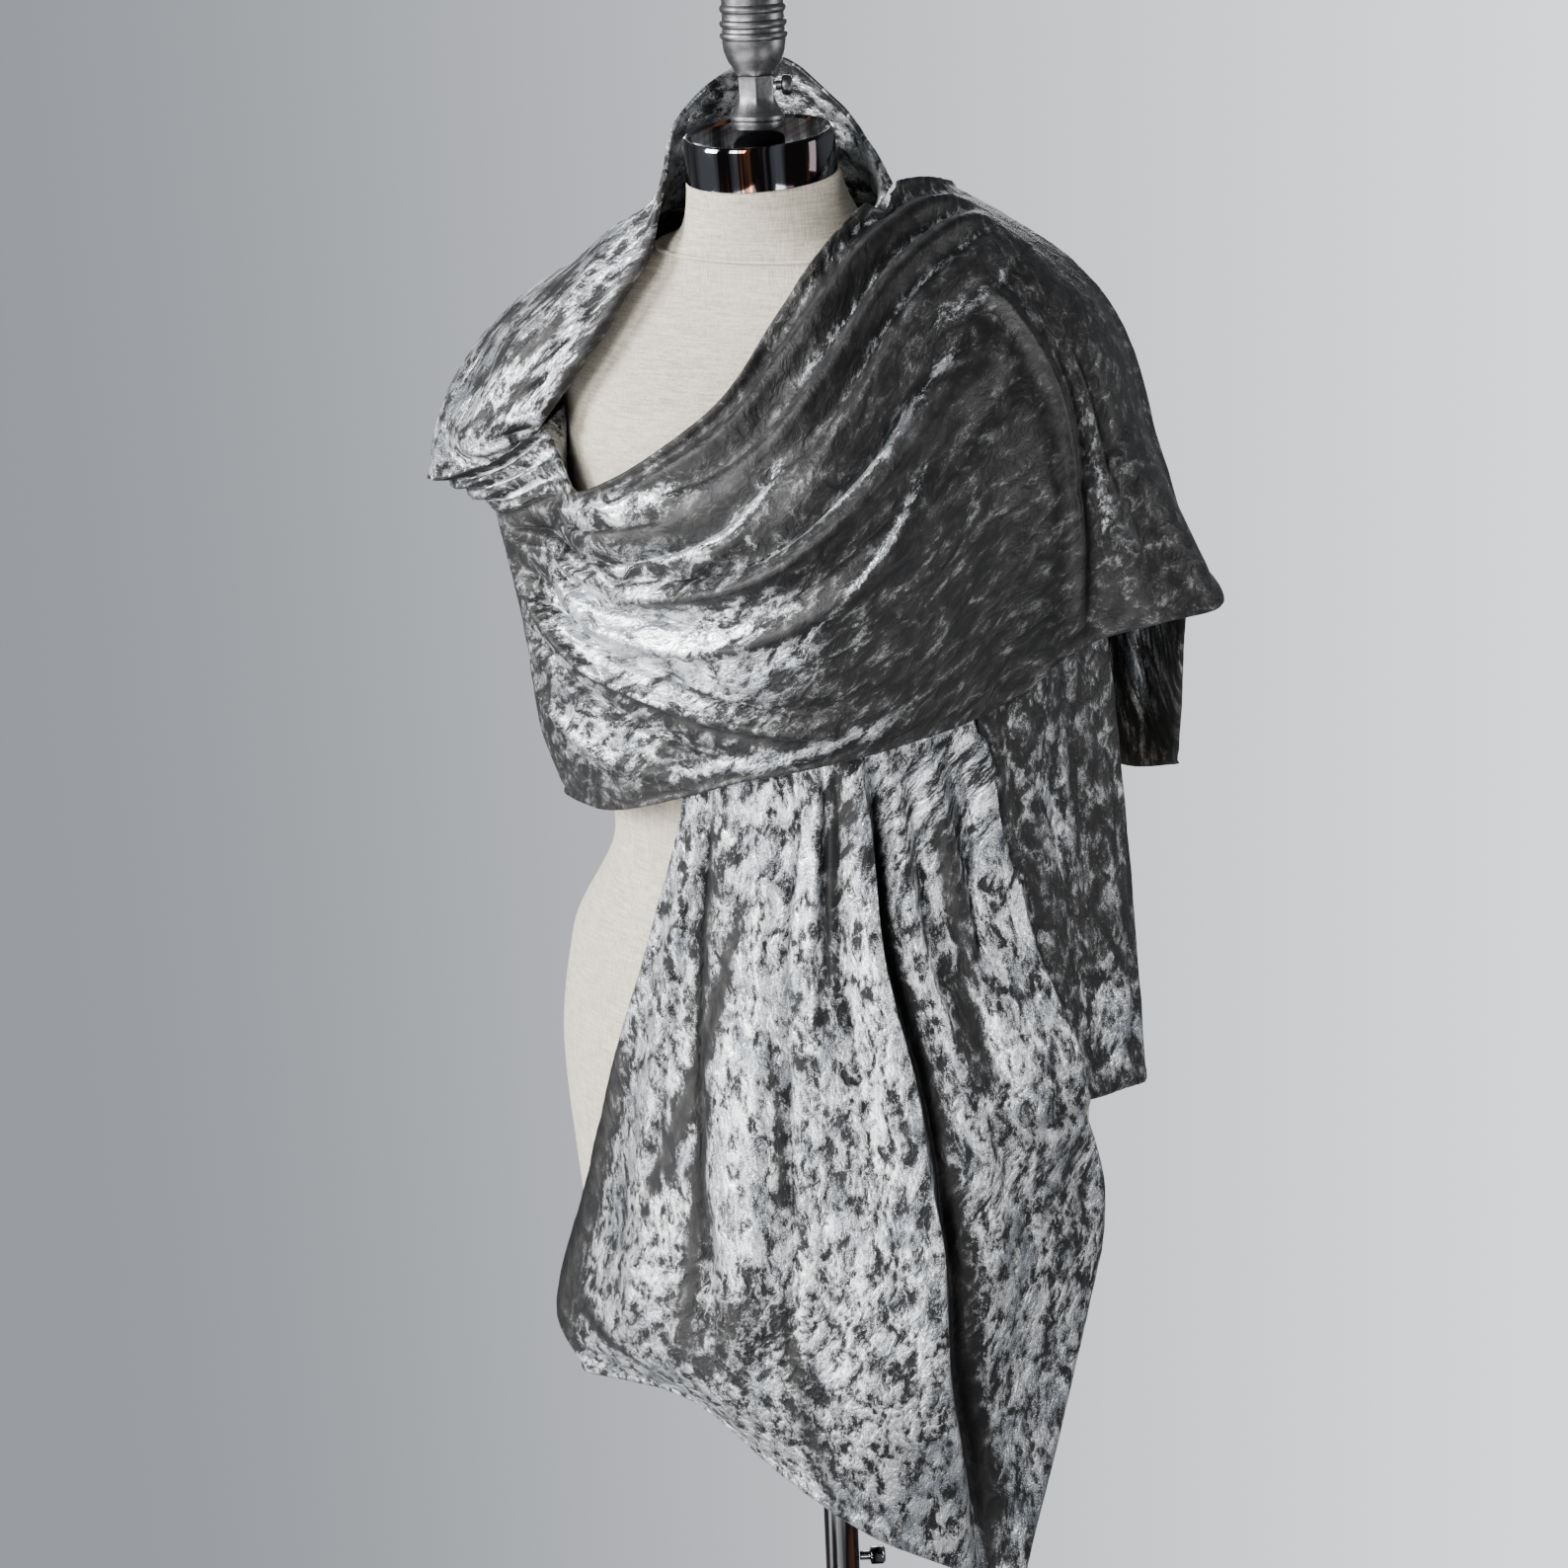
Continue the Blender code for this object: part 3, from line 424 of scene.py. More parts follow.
# Cast pewter finish: brushed grey metal, darker where the polish doesn't reach.
pewter, tree, shader = new_material("cast_pewter", {"Metallic": 1.0})
spot = add_node(tree, "TexCoord")
grain = add_node(tree, "TexNoise", {"Scale": 1 / (2.5 * MM), "Detail": 5.0, "Roughness": 0.65},
                 {0: spot.outputs["Object"]})
tone = add_node(tree, "Mix", {"data_type": "RGBA", 6: paint("#403F40"), 7: paint("#7C7C7F")},
                {0: grain.outputs[0]})
dull = add_node(tree, "MapRange", {"To Min": 0.3, "To Max": 0.5}, {0: grain.outputs[0]})
bump = add_node(tree, "Bump", {"Strength": 0.35, "Distance": 0.15 * MM},
                {"Height": grain.outputs[0]})
feed(shader, {"Base Color": tone.outputs[2], "Roughness": dull.outputs[0],
              "Normal": bump.outputs[0]})

FINIAL_FOOT_RADIUS = 17
STEM_LOW = 17
STEM_HIGH = 34
STEM_SPREAD = 1.06
THUMB_HEIGHT = 27
FINIAL_PROFILE = (
    (0.4, 0), (0.4, 17), (4.6, 17.2), (5.4, 16.6), (6.2, 18.2), (8.6, 18), (12, 15.6), (16, 13.4),
    (19, 12.6), (22, 12.4), (30, 12.4), (34, 12.4), (35, 13.4), (37, 13.9), (39, 14.6), (44, 18),
    (50, 20.2), (56, 21), (57.6, 20.9), (58.4, 21.9), (60.2, 22.5), (62, 21.9), (62.8, 20.9),
    (65, 20.6), (66.2, 21.9), (68, 22.5), (69.8, 21.8), (70.6, 20.6), (74.5, 20.5), (76, 21.8),
    (77.6, 22.1), (79.2, 21.5), (80.4, 20.4), (85, 20.8), (90, 20.6), (96, 19), (101, 16.4),
    (105, 12.6), (107.6, 7), (108.2, 0),
)
cap_top = neck_top @ Vector((0, 0, CAP_HEIGHT * MM))
foot_rise = Vector((0, 0, FINIAL_FOOT_RADIUS * MM * math.tan(NECK_TILT)))
finial_foot = Matrix.Translation(cap_top + foot_rise)
finial = turned("finial", FINIAL_PROFILE, pewter, ["finial"], finial_foot, 96, 0.2)
centre = finial_foot.translation
for vert in finial.data.vertices:
    rise = (vert.co.z - centre.z) / MM
    flat = ease((rise - STEM_LOW) / 4) * (1 - ease((rise - STEM_HIGH) / 3))
    side = (vert.co - centre).to_2d()
    if flat > 0 and side.length > 0:
        turn = math.atan2(side.y, side.x) - VIEW_TURN + math.pi / 2
        turn = turn % (math.pi / 3) - math.pi / 6
        shrink = 1 + flat * (math.cos(math.pi / 6) / math.cos(turn) * STEM_SPREAD - 1)
        vert.co.x = centre.x + side.x * shrink
        vert.co.y = centre.y + side.y * shrink
thumb_place = finial_foot @ Matrix.Translation((0, 0, THUMB_HEIGHT * MM)) @ to_viewer
turned("thumb_screw", ((13, 0), (13, 3), (16.5, 3), (17.2, 6.1), (18.4, 6.6), (21.6, 6.6), (23, 6),
                       (24, 4.6), (24, 0)), pewter, ["thumb_knob"], thumb_place, 40, 0.2)

# Velvet: one long piece of grey crushed velvet, faced with itself, its edges turned in
# and rolled. It is laid by hand, so every stretch has its own folds and its own nap. Each
# stretch's nap values also carry painted light: highlights along ridges, painted shade in
# troughs and beside overlaps, and light painted onto shaded parts.
CLOTH_WALL = 2.4 * MM
BODY_CLEAR = 6.5 * MM
LAYER_STEP = 5.5 * MM
FOLD_CLEAR = 3.2 * MM
HEM_WIDTH = 9
HEM_RISE = 0.9
HEM_ROLL = 2.2
REACH = 60 * MM
ASIDE = 8 * MM
DRAPE_SHIFT = np.array((-5.0, 0.0, 0.0))
FOLD_STEPS = 10
CREASE_STRETCH = 1.6
PATTERN_APART = 1.7

# Small creases: how much finer along and across, and the shift of the seed.
CREASE_GRAIN = ((1.0, 1.0, 0.0), (2.1, 2.3, 7.5), (5.0, 5.5, 3.1))


def along_curve(points, shares):
    """Points on a smooth curve through the given ones, at shares from 0 to 1."""
    points = np.asarray(points, float)
    place = np.clip(shares, 0, 1) * (len(points) - 1)
    k = np.minimum(place.astype(int), len(points) - 2)
    t = (place - k).reshape((-1,) + (1,) * (points.ndim - 1))
    held = np.concatenate([[2 * points[0] - points[1]], points, [2 * points[-1] - points[-2]]])
    p0, p1, p2, p3 = (held[k + step] for step in range(4))
    bend = (2 * p0 - 5 * p1 + 4 * p2 - p3) * t**2
    twist = (3 * p1 - p0 - 3 * p2 + p3) * t**3
    return 0.5 * (2 * p1 + (p2 - p0) * t + bend + twist)


def laid_sheet(sections, along, across):
    """Grid of points through the sections, which are rows of x, y, z triples in mm."""
    controls = (np.array(sections, float).reshape(len(sections), -1, 3) + DRAPE_SHIFT) * MM
    rows = along_curve(controls, np.linspace(0, 1, along + 1))
    return along_curve(rows.transpose(1, 0, 2), np.linspace(0, 1, across + 1)).transpose(1, 0, 2)


def facing(grid, outward):
    """Unit normals of a grid, on the side that outward names."""
    normals = np.cross(np.gradient(grid, axis=0), np.gradient(grid, axis=1)) * outward
    return normals / np.maximum(np.linalg.norm(normals, axis=-1, keepdims=True), 1e-12)


def flat_spots(grid):
    """Where each point lies on the cloth before it is laid, in mm along and across."""
    along = np.linalg.norm(np.diff(grid, axis=0), axis=-1).sum(0).mean() / MM
    across = np.linalg.norm(np.diff(grid, axis=1), axis=-1).sum(1).mean() / MM
    rows, columns = grid.shape[:2]
    steps = np.meshgrid(np.linspace(0, along, rows), np.linspace(0, across, columns), indexing="ij")
    return np.stack(steps, -1), along, across


def fold_maps(folds, spots, along, across):
    """Height of all folds at each spot and how far they lean over the cloth beside them, in mm.

    A fold is a ridge, or a sharper trough where its height is negative, along a bent line.
    """
    total = np.zeros(spots.shape[:2])
    leans = np.zeros(spots.shape[:2])
    for s0, t0, s1, t1, s2, t2, half, height, *lean in folds:
        stops = [(s0 * along, t0 * across), (s1 * along, t1 * across), (s2 * along, t2 * across)]
        path = along_curve(stops, np.linspace(0, 1, FOLD_STEPS + 1))
        away = np.full(total.shape, 1e9)
        run = np.zeros(total.shape)
        for k, (a, b) in enumerate(zip(path, path[1:])):
            reach = b - a
            part = np.clip(((spots - a) @ reach) / (reach @ reach), 0, 1)
            gap = np.linalg.norm(spots - a - part[..., None] * reach, axis=-1)
            run = np.where(gap < away, (k + part) / FOLD_STEPS, run)
            away = np.minimum(away, gap)
        fade = 1 - 0.9 * np.abs(2 * run - 1) ** 3
        shape = fade * np.exp(-(away / half) ** (2.0 if height > 0 else 1.4))
        total += height * shape
        leans += sum(lean) * shape
    return total, leans


def crumple(spots, seed, size, depth):
    """Uneven small creases, mm: soft swells with a few sharper ridges, longer along the cloth."""
    heights = np.zeros(spots.shape[:2])
    for i, j in np.ndindex(heights.shape):
        a, b = spots[i, j] / size
        swell, ridge, fine = (
            noise.noise(Vector((a / CREASE_STRETCH * along, b * across, seed + shift)))
            for along, across, shift in CREASE_GRAIN)
        heights[i, j] = depth * (swell + 0.45 * (0.5 - abs(ridge) * 2) + 0.16 * fine)
    return heights


def evened(grid, times):
    """The grid with its inner points evened and its rim left."""
    for _ in range(times):
        around = grid[:-2, 1:-1] + grid[2:, 1:-1] + grid[1:-1, :-2] + grid[1:-1, 2:]
        grid = grid.copy()
        grid[1:-1, 1:-1] = grid[1:-1, 1:-1] * 0.5 + around * 0.125
    return grid


def lifted(grid, tree, clear):
    """The grid lifted where it comes nearer than clear to the skin beneath."""
    grid = grid.copy()
    for i, j in np.ndindex(grid.shape[:2]):
        spot = Vector(grid[i, j])
        found, normal, _, _ = tree.find_nearest(spot, REACH)
        if found is None:
            continue
        height = (spot - found).dot(normal)
        if height < clear and (spot - found - normal * height).length < ASIDE:
            grid[i, j] += np.array(normal * (clear - height))
    return grid


def draped(grid, under=()):
    """The sheet as it lies before it folds: off the form and over the sheets beneath it."""
    for times in (4, 3, 2):
        grid = lifted(grid, form_tree, BODY_CLEAR)
        for tree in under:
            grid = lifted(grid, tree, LAYER_STEP)
        grid = evened(grid, times)
    return grid


def sheet_tree(grid, outward):
    """Search tree of a sheet with its faces turned outward."""
    rows, columns = grid.shape[:2]
    faces = []
    for i, j in np.ndindex(rows - 1, columns - 1):
        a = i * columns + j
        face = (a, a + columns, a + columns + 1, a + 1)
        faces.append(face if outward > 0 else face[::-1])
    return BVHTree.FromPolygons([Vector(p) for p in grid.reshape(-1, 3)], faces)


def hem_rise(spots, along, across, edges):
    """Height of the turned hem beside the named edges, mm: a flat band whose rim rolls under."""
    far = {"first": spots[..., 0], "last": along - spots[..., 0],
           "near": spots[..., 1], "far": across - spots[..., 1]}
    total = np.zeros(spots.shape[:2])
    for edge in edges:
        total += HEM_RISE * (1 - ease((far[edge] - HEM_WIDTH) / 2))
        total -= HEM_ROLL * (1 - ease(far[edge] / HEM_ROLL))
    return total


def laid_folds(grid, folds, outward, seed, size, depth, hems=(), under=()):
    """The sheet with its folds, hems and small creases raised, still clear of what it lies on."""
    spots, along, across = flat_spots(grid)
    heights, leans = fold_maps(folds, spots, along, across)
    heights += crumple(spots, seed, size, depth) + hem_rise(spots, along, across, hems)
    crosswise = np.gradient(grid, axis=1)
    crosswise /= np.maximum(np.linalg.norm(crosswise, axis=-1, keepdims=True), 1e-9)
    normals = facing(evened(grid, 2), outward)
    grid = grid + normals * (heights * MM)[..., None] + crosswise * (leans * MM)[..., None]
    grid = lifted(grid, form_tree, FOLD_CLEAR)
    for tree in under:
        grid = lifted(grid, tree, FOLD_CLEAR)
    return evened(grid, 1)


def led_to(grid, edge, target, reach):
    """The grid with its first, near or far edge moved onto the target, fading over reach rows."""
    grid = grid.copy()
    view = grid if edge == "first" else grid.transpose(1, 0, 2)
    if edge == "far":
        view = view[::-1]
    move = np.asarray(target) - view[0]
    for k in range(reach):
        view[k] += move * (1 - ease(k / reach))
    return grid


def dressed(grid, folds, outward, seed, size, depth, hems=(), under=(), joins=()):
    """The sheet draped and folded, with its joined edges led home before and after that."""
    for join in joins:
        grid = led_to(grid, *join)
    grid = laid_folds(draped(grid, under), folds, outward, seed, size, depth, hems, under)
    for join in joins:
        grid = led_to(grid, *join)
    return grid


def with_nap_and_light(grid, zones, base):
    """A sheet and its nap value, which sets silver or charcoal pile and also carries painted highlights and
    painted shade: a base and soft streaks, as folds.
    """
    spots, along, across = flat_spots(grid)
    return grid, base + fold_maps(zones, spots, along, across)[0]


def sheet_mesh(made, grid, nap_and_light, start):
    """Adds a sheet's faces to a bmesh, with its UV in metres of flat cloth and its nap value, which holds nap
    and painted light.
    """
    rows, columns = grid.shape[:2]
    spots = flat_spots(grid)[0]
    widths = np.linalg.norm(np.diff(grid, axis=1), axis=-1) / MM
    spots[:, 1:, 1] = np.cumsum(widths, axis=1)
    spots[..., 1] -= spots[:, columns // 2, 1][:, None]
    before = set(made.verts)
    bmesh.ops.create_grid(made, x_segments=rows - 1, y_segments=columns - 1, size=1)
    fresh = [vert for vert in made.verts if vert not in before]
    lie_and_light = made.verts.layers.float["nap_and_light"]
    uv = made.loops.layers.uv["UVMap"]
    place = {}
    for vert in fresh:
        i = round((vert.co.x + 1) / 2 * (rows - 1))
        j = round((vert.co.y + 1) / 2 * (columns - 1))
        place[vert] = (i, j)
        vert.co = grid[i, j]
        vert[lie_and_light] = nap_and_light[i, j]
    for face in {face for vert in fresh for face in vert.link_faces}:
        for loop in face.loops:
            i, j = place[loop.vert]
            loop[uv].uv = (start + spots[i, j, 0] * MM, spots[i, j, 1] * MM)


def velvet_piece(name, sheets, nodes):
    made = bmesh.new()
    made.loops.layers.uv.new("UVMap")
    made.verts.layers.float.new("nap_and_light")
    for start, (grid, nap_and_light) in enumerate(sheets):
        sheet_mesh(made, grid, nap_and_light, start * PATTERN_APART)
    bmesh.ops.remove_doubles(made, verts=made.verts, dist=0.02 * MM)
    bmesh.ops.recalc_face_normals(made, faces=made.faces)
    piece = add_piece(name, made, velvet)
    wall = piece.modifiers.new("wall", "SOLIDIFY")
    wall.thickness = CLOTH_WALL
    wall.offset = 0
    wall.use_even_offset = False
    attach(piece, "root")
    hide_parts(*nodes)
    return piece


# Crushed velvet, a knitted pile pressed in many directions: silver where the pile lies flat,
# charcoal where it stands, in ragged patches of 4 to 15 mm drawn out along the cloth, with
# pressed lines and a glitter of single tufts, drawn at 0.9 mm so that it shows. The nap value
# that steers silver and charcoal is partly painted light: it paints highlights on ridges and
# silver where a stretch catches the light, and painted shade, a darker pile, in troughs.
velvet, tree, shader = new_material("crushed_velvet_pile", {
    "Specular IOR Level": 0.25, "Sheen Weight": 0.06, "Sheen Roughness": 0.4,
    "Sheen Tint": paint("#DDE4EC")})
cloth_uv = add_node(tree, "UVMap", {"uv_map": "UVMap"})
lie_and_light = add_node(tree, "Attribute", {"attribute_name": "nap_and_light"})
drawn_out = add_node(tree, "Mapping", {"Scale": (0.6, 1.0, 1.0)}, {0: cloth_uv.outputs[0]})
broad = add_node(tree, "TexNoise", {
    "Scale": 1 / (11 * MM), "Detail": 3.0, "Roughness": 0.6, "Distortion": 0.5},
    {0: drawn_out.outputs[0]})
small = add_node(tree, "TexNoise", {
    "Scale": 1 / (3.8 * MM), "Detail": 3.0, "Roughness": 0.6, "Distortion": 0.8},
    {0: drawn_out.outputs[0]})
tufts = add_node(tree, "TexNoise", {"Scale": 1 / (0.9 * MM), "Detail": 1.0},
                 {0: cloth_uv.outputs[0]})
creased = add_node(tree, "TexNoise", {"Scale": 1 / (34 * MM), "Detail": 2.0, "Distortion": 1.6},
                   {0: drawn_out.outputs[0]})
broad_part = add_node(tree, "Math", {"operation": "MULTIPLY", 1: 0.66}, {0: broad.outputs[0]})
both = add_node(tree, "Math", {"operation": "MULTIPLY_ADD", 1: 0.36},
                {0: small.outputs[0], 2: broad_part.outputs[0]})
glitter = add_node(tree, "Math", {"operation": "MULTIPLY_ADD", 1: 0.2},
                   {0: tufts.outputs[0], 2: both.outputs[0]})
shifted = add_node(tree, "Math", {"operation": "ADD"},
                   {0: glitter.outputs[0], 1: lie_and_light.outputs["Fac"]})
off_line = add_node(tree, "Math", {"operation": "SUBTRACT", 1: 0.5}, {0: creased.outputs[0]})
from_line = add_node(tree, "Math", {"operation": "ABSOLUTE"}, {0: off_line.outputs[0]})
pressed = add_node(tree, "MapRange", {"From Max": 0.011, "To Min": 0.06, "To Max": 0.0},
                   {0: from_line.outputs[0]})
marked = add_node(tree, "Math", {"operation": "ADD"},
                  {0: shifted.outputs[0], 1: pressed.outputs[0]})
# Silver mask: real nap patches, and painted highlights where the nap value is raised.
flat_lain_and_lit = add_node(tree, "MapRange", {
    "interpolation_type": "SMOOTHSTEP", "From Min": 0.97, "From Max": 1.17},
    {0: marked.outputs[0]})
most = add_node(tree, "MapRange", {"From Min": 0.32, "From Max": 0.44, "To Min": 0.16},
                {0: lie_and_light.outputs["Fac"]})
bright = add_node(tree, "Math", {"operation": "MULTIPLY"},
                  {0: flat_lain_and_lit.outputs[0], 1: most.outputs[0]})
deep = add_node(tree, "MapRange", {"From Min": 0.27, "From Max": 0.44}, {0: broad_part.outputs[0]})
pile = add_node(tree, "Mix", {"data_type": "RGBA", 6: paint("#1D1D1E"), 7: paint("#353433")},
                {0: deep.outputs[0]})
# Painted shade: where the nap value is lowest, in troughs and beside overlaps, the pile darkens to 0.3 of its
# tone.
stood_up_and_shaded = add_node(tree, "MapRange", {"From Min": 0.12, "From Max": 0.3, "To Min": 0.3},
                    {0: lie_and_light.outputs["Fac"]})
shaded = add_node(tree, "VectorMath", {"operation": "SCALE"},
                  {0: pile.outputs[2], "Scale": stood_up_and_shaded.outputs[0]})
mixed = add_node(tree, "Math", {"operation": "MULTIPLY_ADD", 1: 1.3},
                 {0: creased.outputs[0], 2: tufts.outputs[0]})
sparkle = add_node(tree, "MapRange", {"From Min": 0.9, "From Max": 1.38}, {0: mixed.outputs[0]})
silver = add_node(tree, "Mix", {"data_type": "RGBA", 6: paint("#7E848C"), 7: paint("#FBFDFF")},
                  {0: sparkle.outputs[0]})
tone = add_node(tree, "Mix", {"data_type": "RGBA"},
                {0: bright.outputs[0], 6: shaded.outputs[0], 7: silver.outputs[2]})
shine = add_node(tree, "MapRange", {"To Min": 0.35, "To Max": 0.85}, {0: bright.outputs[0]})
gloss = add_node(tree, "MapRange", {"To Min": 0.5, "To Max": 0.33}, {0: bright.outputs[0]})
relief = add_node(tree, "Math", {"operation": "MULTIPLY_ADD", 1: 0.28},
                  {0: small.outputs[0], 2: broad.outputs[0]})
steep = add_node(tree, "Math", {"operation": "MULTIPLY_ADD", 1: 0.65, 2: 0.35},
                 {0: most.outputs[0]})
tilt = add_node(tree, "Bump", {"Distance": 3.9 * MM},
                {"Strength": steep.outputs[0], "Height": relief.outputs[0]})
fuzz = add_node(tree, "Bump", {"Strength": 0.35, "Distance": 0.3 * MM},
                {"Height": tufts.outputs[0], "Normal": tilt.outputs[0]})
feed(shader, {"Base Color": tone.outputs[2], "Metallic": shine.outputs[0],
              "Roughness": gloss.outputs[0], "Normal": fuzz.outputs[0]})

# Collar: the middle of the stole stands up behind the neck, open in front. Sections run
# from the form's right side round the back to its left side: top edge, middle, foot.
COLLAR_SECTIONS = (
    (-57, -54, 1394, -64, -50, 1380, -72, -46, 1366),
    (-64, -22, 1426, -68, -16, 1396, -78, -8, 1364),
    (-56, 34, 1450, -56, 40, 1402, -60, 46, 1360),
    (-22, 54, 1458, -20, 60, 1404, -18, 66, 1357),
    (28, 38, 1430, 32, 46, 1396, 36, 60, 1358),
    (64, 9, 1407, 65, 13, 1387, 70, 24, 1361),
    (90, -15, 1387, 86, -22, 1376, 80, -30, 1363),
)
COLLAR_FOLDS = (
    (0.10, 0.50, 0.25, 0.72, 0.40, 0.90, 8, -3.5),
    (0.05, 0.20, 0.30, 0.35, 0.48, 0.25, 6, 2.5),
    (0.48, 0.15, 0.62, 0.30, 0.80, 0.20, 6, 3.0),
    (0.55, 0.50, 0.70, 0.55, 0.90, 0.45, 6, -3.0),
    (0.60, 0.80, 0.78, 0.60, 0.92, 0.40, 8, 3.0),
)
# Nap and painted light: the two broad rows paint light onto the collar's shaded inner side, at its right end and
# at its left; a thin row makes the band along its top edge darker.
COLLAR_NAP_AND_LIGHT = (
    (0.04, 0.20, 0.16, 0.40, 0.26, 0.50, 30, 0.09),
    (0.66, 0.70, 0.80, 0.50, 0.94, 0.50, 24, 0.14),
    (0.30, 0.05, 0.60, 0.05, 0.95, 0.05, 4, -0.10),
)
FINE = 6
COLLAR_ALONG = 24 * FINE
COLLAR_ACROSS = 6 * FINE
collar = dressed(laid_sheet(COLLAR_SECTIONS, COLLAR_ALONG, COLLAR_ACROSS), COLLAR_FOLDS,
                 outward=1, seed=1.0, size=22, depth=0.7, hems=("near",))
collar_tree = sheet_tree(collar, 1)

# Back: below the collar the cloth hangs over the shoulder blades in soft upright folds.
# Sections run from the right side round to the left: foot of the collar down to the hem.
BACK_SECTIONS = (
    (-84, 8, 1357, -190, 62, 1302, -238, 46, 1212, -198, 0, 1100, -164, -12, 955),
    (-66, 44, 1358, -140, 100, 1288, -176, 104, 1180, -160, 84, 1070, -140, 78, 948),
    (-6, 72, 1354, -20, 124, 1270, -20, 132, 1170, -12, 120, 1052, -8, 118, 940),
    (60, 52, 1358, 108, 100, 1288, 128, 108, 1180, 116, 92, 1060, 110, 96, 950),
    (84, 10, 1362, 150, 52, 1312, 172, 50, 1190, 156, 30, 1080, 150, 36, 960),
)
BACK_FOLDS = (
    (0.15, 0.15, 0.22, 0.50, 0.30, 0.98, 22, 9),
    (0.24, 0.30, 0.28, 0.60, 0.36, 0.98, 10, -5),
    (0.32, 0.20, 0.36, 0.55, 0.42, 0.98, 18, -8),
    (0.50, 0.10, 0.49, 0.50, 0.52, 0.98, 24, 9),
    (0.57, 0.25, 0.58, 0.60, 0.60, 0.98, 9, -5),
    (0.68, 0.25, 0.65, 0.60, 0.64, 0.98, 18, -8),
    (0.82, 0.20, 0.79, 0.55, 0.76, 0.98, 22, 8),
    (0.90, 0.35, 0.86, 0.65, 0.84, 0.98, 10, -4),
)
BACK_NAP = (
    (0.20, 0.30, 0.25, 0.60, 0.28, 0.95, 50, 0.07),
    (0.50, 0.10, 0.54, 0.50, 0.56, 0.95, 40, -0.06),
    (0.72, 0.10, 0.72, 0.50, 0.70, 0.95, 30, 0.05),
)
WRAP_ACROSS = 118
COLLAR_BACK_FIRST = 5 * FINE
COLLAR_BACK_LAST = 21 * FINE
BACK_ALONG = COLLAR_BACK_LAST - COLLAR_BACK_FIRST
BACK_ACROSS = 2 * WRAP_ACROSS
collar_foot = collar[COLLAR_BACK_FIRST:COLLAR_BACK_LAST + 1, -1]
back_sheet = dressed(laid_sheet(BACK_SECTIONS, BACK_ALONG, BACK_ACROSS), BACK_FOLDS,
                     outward=1, seed=2.0, size=36, depth=1.2, hems=("far",),
                     joins=[("near", collar_foot, 30)])
back_tree = sheet_tree(back_sheet, 1)
back_side = back_sheet[0]

# Right shoulder: the cloth comes off the collar over the shoulder to the pinch. Sections
# run down the stretch: neckline edge, front, crest, and where it meets the back.
RIGHT_SECTIONS = (
    (-57, -60, 1390, -65, -56, 1375, -78, -42, 1360, -84, 8, 1357),
    (-60, -72, 1348, -92, -56, 1356, -112, -24, 1352, -120, 34, 1340),
    (-76, -78, 1320, -122, -72, 1322, -162, -20, 1318, -178, 58, 1306),
    (-92, -86, 1292, -150, -90, 1286, -202, -28, 1290, -212, 66, 1276),
    (-108, -94, 1268, -170, -104, 1248, -228, -48, 1256, -230, 58, 1248),
    (-124, -100, 1246, -186, -114, 1216, -240, -66, 1226, -236, 52, 1230),
    (-142, -100, 1224, -176, -110, 1202, -226, -106, 1190, -238, 46, 1212),
)
RIGHT_FOLDS = (
    (0.02, 0.05, 0.50, 0.05, 0.90, 0.05, 6, 2.2),
    (0.05, 0.10, 0.45, 0.11, 0.80, 0.12, 4, -1.6),
    (0.45, 0.35, 0.72, 0.34, 0.95, 0.30, 12, 4.5),
    (0.60, 0.55, 0.80, 0.52, 0.98, 0.48, 12, -4),
    (0.78, 0.20, 0.84, 0.07, 0.92, 0.03, 3.5, 4.5),
    (0.84, 0.24, 0.90, 0.14, 0.93, 0.08, 3, -3.5),
    (0.86, 0.36, 0.92, 0.22, 0.96, 0.10, 3.5, 4),
    (0.20, 0.30, 0.45, 0.22, 0.70, 0.20, 9, 2.5),
    (0.25, 0.70, 0.55, 0.72, 0.85, 0.75, 14, 4),
)
# Nap and painted light: the last two rows paint a highlight along the ridge of a small fold low on the shoulder
# and painted shade in the trough beside it.
RIGHT_NAP_AND_LIGHT = (
    (0.20, 0.10, 0.50, 0.14, 0.86, 0.12, 10, 0.06),
    (0.50, 0.36, 0.60, 0.40, 0.72, 0.46, 9, -0.10),
    (0.72, 0.26, 0.78, 0.36, 0.84, 0.48, 6, -0.12),
    (0.42, 0.52, 0.50, 0.58, 0.56, 0.66, 10, -0.08),
    (0.33, 0.12, 0.40, 0.13, 0.46, 0.14, 9, -0.10),
    (0.28, 0.42, 0.33, 0.44, 0.38, 0.46, 12, -0.14),
    (0.46, 0.20, 0.51, 0.25, 0.56, 0.30, 9, -0.16),
    (0.62, 0.14, 0.66, 0.18, 0.70, 0.22, 8, -0.14),
    (0.60, 0.45, 0.75, 0.42, 0.90, 0.40, 20, 0.05),
    (0.00, 0.02, 0.50, 0.02, 0.92, 0.02, 5, -0.16),
    (0.84, 0.20, 0.88, 0.12, 0.91, 0.07, 3.5, -0.25),
    (0.78, 0.20, 0.84, 0.07, 0.92, 0.03, 2.5, 0.15),
)
RIGHT_ACROSS = COLLAR_ACROSS + COLLAR_BACK_FIRST
collar_side = np.concatenate([collar[0], collar[1:COLLAR_BACK_FIRST + 1, -1]])
right_sheet = dressed(laid_sheet(RIGHT_SECTIONS, WRAP_ACROSS, RIGHT_ACROSS), RIGHT_FOLDS,
                      outward=-1, seed=3.0, size=18, depth=1.1, hems=("near",),
                      joins=[("far", back_side[:WRAP_ACROSS + 1], 20), ("first", collar_side, 14)])

